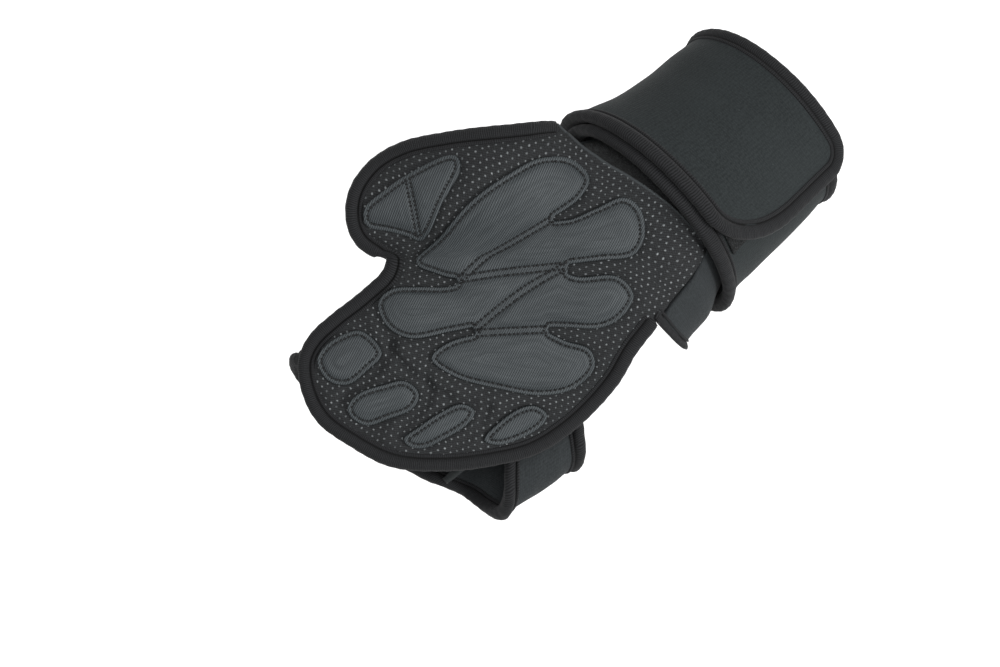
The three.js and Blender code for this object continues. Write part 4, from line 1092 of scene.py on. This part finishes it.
def strap_edges(along):
    left = STRAP_LENGTH - along
    near = drawn_in(left, STRAP_NEAR_REACH, STRAP_NEAR_DRAW)
    return near, STRAP_WIDTH - drawn_in(left, STRAP_FAR_CORNER, STRAP_FAR_CORNER)


def strap_place(u, v, h):
    near, far = strap_edges(u)
    return on_strap(u, near + (far - near) * v / STRAP_WIDTH, h)


strap_u = np.concatenate([np.arange(0, STRAP_LENGTH - STRAP_NEAR_REACH, 1.5),
                          STRAP_LENGTH - STRAP_NEAR_REACH * (1 - np.sin(np.linspace(0, math.pi / 2, 22)))])
wrist_strap = cloth_strip("wrap_cloth", strap_u, np.linspace(0, STRAP_WIDTH, 36), strap_place, STRAP_CLOTH,
                          FLAP, ["wrist_strap"], strap_relief)
corner_u = STRAP_LENGTH - STRAP_NEAR_REACH * (1 - np.sin(np.linspace(0, math.pi / 2, 40)))
edge_u = np.concatenate([np.arange(0, corner_u[0], 1.0), corner_u])
near_edge = np.stack([edge_u, strap_edges(edge_u)[0]], -1)
far_edge = np.stack([edge_u, strap_edges(edge_u)[1]], -1)
PATH_STEP = 0.9
strap_path = even(np.vstack([near_edge, far_edge[::-1]]), PATH_STEP)
strap_in = inward(strap_path)
strap_way = np.arange(len(strap_path)) * PATH_STEP


def strap_binding_place(x, y):
    at = strap_path + strap_in * np.broadcast_to(x, len(strap_path))[:, None]
    return on_strap(at[:, 0], at[:, 1], y)


binding("wrap_edge_binding", strap_binding_place, STRAP_CLOTH, "strap_binding", strap_way, seed=6,
        fullness=0.9)

patch_turns = np.linspace(342, 404, 50)
strap_loop_patch = cloth_strip(
    "wrap_loop_cloth", np.radians(patch_turns - STRAP_START) * STRAP_ROUND,
    np.linspace(0.09, 0.87, 40) * STRAP_WIDTH,
    lambda u, v, h: on_strap(u, v, STRAP_CLOTH + LOOP_LIFT + h), LOOP_PILE, LOOP, ["strap_loop_patch"])


# Bands behind the fingers and the thumb

def sewn_under(row):
    x, y = row[0] * PALM_BREADTH, row[1] * PALM_LENGTH
    return on_palm(np.array(x), np.array(y), np.array(-UNDER_PALM))


def band_edge(name, lean_share, start, end):
    rows = np.stack([(BAND["x"] + BAND["lean"] * lean_share) * PALM_BREADTH, BAND[name] * PALM_LENGTH,
                     BAND["z"] * FINGER_DEPTH], -1)
    return np.vstack([sewn_under(start), rows, sewn_under(end)])


def thumb_edge(ring, start, end):
    middle = np.array(ring[:2]) * (PALM_BREADTH, PALM_LENGTH)
    way = (np.array(THUMB_RINGS["front"][:2]) - THUMB_RINGS["rear"][:2]) * (PALM_BREADTH, PALM_LENGTH)
    way = way / np.linalg.norm(way)
    rows = []
    for turn in np.radians((-12, -45, -90, -135, -168)):
        side = math.cos(turn) * ring[2] * PALM_BREADTH
        rise = THUMB_MIDDLE + math.sin(turn) * THUMB_DEPTH
        rows.append((middle[0] + way[1] * side, middle[1] - way[0] * side, rise))
    return np.vstack([sewn_under(start), rows, sewn_under(end)])


def band_place(rear, front, side):
    """place(u, v, h) on the strip between two edge curves, and its width."""
    def width_at(u):
        return np.linalg.norm(spline(front, u) - spline(rear, u), axis=-1)

    def point(u, v):
        a, b = spline(rear, u), spline(front, u)
        return a + (b - a) * (v / width_at(u))[..., None]

    def place(u, v, h):
        u, v, h = np.broadcast_arrays(np.asarray(u, float), np.asarray(v, float), np.asarray(h, float))
        along = point(np.minimum(u + 0.004, 1), v) - point(np.maximum(u - 0.004, 0), v)
        over = spline(front, u) - spline(rear, u)
        square = np.cross(along, over)
        square = square / np.linalg.norm(square, axis=-1, keepdims=True) * side
        return point(u, v) + square * h[..., None]

    return place, width_at


def add_band(name, rear, front, side, count, length, seed):
    place, width_at = band_place(rear, front, side)
    us = np.linspace(0, 1, count)

    def strip_place(u, v, h):
        return place(u, v * width_at(u), h)

    def relief(u, v):
        edge = np.minimum(v, 1 - v)
        points = np.stack([u.ravel() * length, v.ravel() * BAND_DEPTH], -1)
        return (0.3 + 0.18 * soft_noise(points, 10, seed).reshape(u.shape)) * smooth_step((edge - 0.14) / 0.2)

    cloth = cloth_strip(f"{name}_cloth", us, np.linspace(0, 1, 24), strip_place, BAND_CLOTH, JERSEY,
                        [name], relief, (length, BAND_DEPTH))
    edges = (("front", lambda x, y: place(us, width_at(us) - x, y)),
             ("rear", lambda x, y: place(us, np.broadcast_to(x, us.shape), y)))
    for k, (end, edge_place) in enumerate(edges, 1):
        binding(f"{name}_{end}_edge", edge_place, BAND_CLOTH, f"{name}_{end}_binding", us * length, seed + k)
    return cloth


finger_band = add_band(
    "finger_band",
    band_edge("rear", 0, BAND_ENDS["little_rear"], BAND_ENDS["index_rear"]),
    band_edge("front", 1, BAND_ENDS["little_front"], BAND_ENDS["index_front"]),
    -1, 190, 128, 21,
)
thumb_loop = add_band(
    "thumb_loop",
    thumb_edge(THUMB_RINGS["rear"], THUMB_LOOP_ENDS["outer_rear"], THUMB_LOOP_ENDS["web_rear"]),
    thumb_edge(THUMB_RINGS["front"], THUMB_LOOP_ENDS["outer_front"], THUMB_LOOP_ENDS["web_front"]),
    1, 90, 50, 31,
)


# Finger dividers

def divider(name, row, top_rear, top_front):
    dip = {key: BAND[key][row] for key in BAND}
    middle = (dip["x"] + dip["lean"] * 0.75) * PALM_BREADTH
    low = dip["z"] * FINGER_DEPTH + BINDING_WALL + CLEARANCE * 3

    def place(u, v, h):
        top_y = (top_rear + (top_front - top_rear) * v) * PALM_LENGTH
        top = on_palm(np.full_like(top_y, middle), top_y, np.full_like(top_y, -DIVIDER_DROP))
        foot_y = (dip["front"] - 0.12 + 0.108 * v) * PALM_LENGTH
        foot = stack(np.full_like(v, middle), foot_y, np.full_like(v, low))
        point = foot + (top - foot) * u[..., None]
        point[..., 0] = middle + h - DIVIDER_CLOTH / 2
        return point

    return cloth_strip(f"{name}_cloth", np.linspace(0, 1, 14), np.linspace(0, 1, 16), place,
                       DIVIDER_CLOTH, FLAP, [name], lengths=(16, 17))


dividers = [divider(name, *ends) for name, ends in DIVIDERS.items()]


# Camera, light and floor

CAMERA_PLACE, LENS = (0.00411, 0.05767, 0.818), 97.92
PHOTO_RIGHT = (-0.6561, -0.7547)
FLOOR_HALF, FLOOR_LEVEL = 6, -0.16
LIGHT_TARGET = (0, 0.03, 0)

camera_data = bpy.data.cameras.new("camera")
camera_data.sensor_width = 36
camera_data.lens = LENS
camera_data.clip_start = 0.05
camera_data.clip_end = 20
camera = bpy.data.objects.new("camera", camera_data)
camera.location = CAMERA_PLACE
camera.rotation_euler = Euler((0, 0, math.atan2(PHOTO_RIGHT[1], PHOTO_RIGHT[0])))
bpy.context.collection.objects.link(camera)
bpy.context.scene.camera = camera

floor_mesh = bpy.data.meshes.new("floor")
corners = [(x * FLOOR_HALF, y * FLOOR_HALF, FLOOR_LEVEL) for x, y in ((-1, -1), (1, -1), (1, 1), (-1, 1))]
floor_mesh.from_pydata(corners, [], [(0, 1, 2, 3)])
floor = bpy.data.objects.new("floor", floor_mesh)
bpy.context.collection.objects.link(floor)
floor_shader = bpy.data.materials.new("floor")
floor_shader.use_nodes = True
floor_surface = floor_shader.node_tree.nodes["Principled BSDF"]
floor_surface.inputs["Base Color"].default_value = (0.9, 0.9, 0.9, 1)
floor_surface.inputs["Roughness"].default_value = 0.9
floor_mesh.materials.append(floor_shader)


def area_light(name, place, size, power):
    data = bpy.data.lights.new(name, "AREA")
    data.shape = "DISK"
    data.size = size
    data.energy = power
    light = bpy.data.objects.new(name, data)
    light.location = place
    way = Vector(LIGHT_TARGET) - Vector(place)
    light.rotation_euler = way.to_track_quat("-Z", "Y").to_euler()
    bpy.context.collection.objects.link(light)


area_light("key", (-1.0, -0.6, 1.0), 0.6, 26)
area_light("fill", (0.9, 0.2, 1.1), 1.2, 8)
area_light("top", (0.0, 0.0, 1.7), 1.0, 14)

world = bpy.data.worlds.new("world")
world.use_nodes = True
background = world.node_tree.nodes["Background"]
background.inputs["Color"].default_value = (1, 1, 1, 1)
background.inputs["Strength"].default_value = 0.5
bpy.context.scene.world = world
bpy.context.scene.view_settings.view_transform = "Standard"
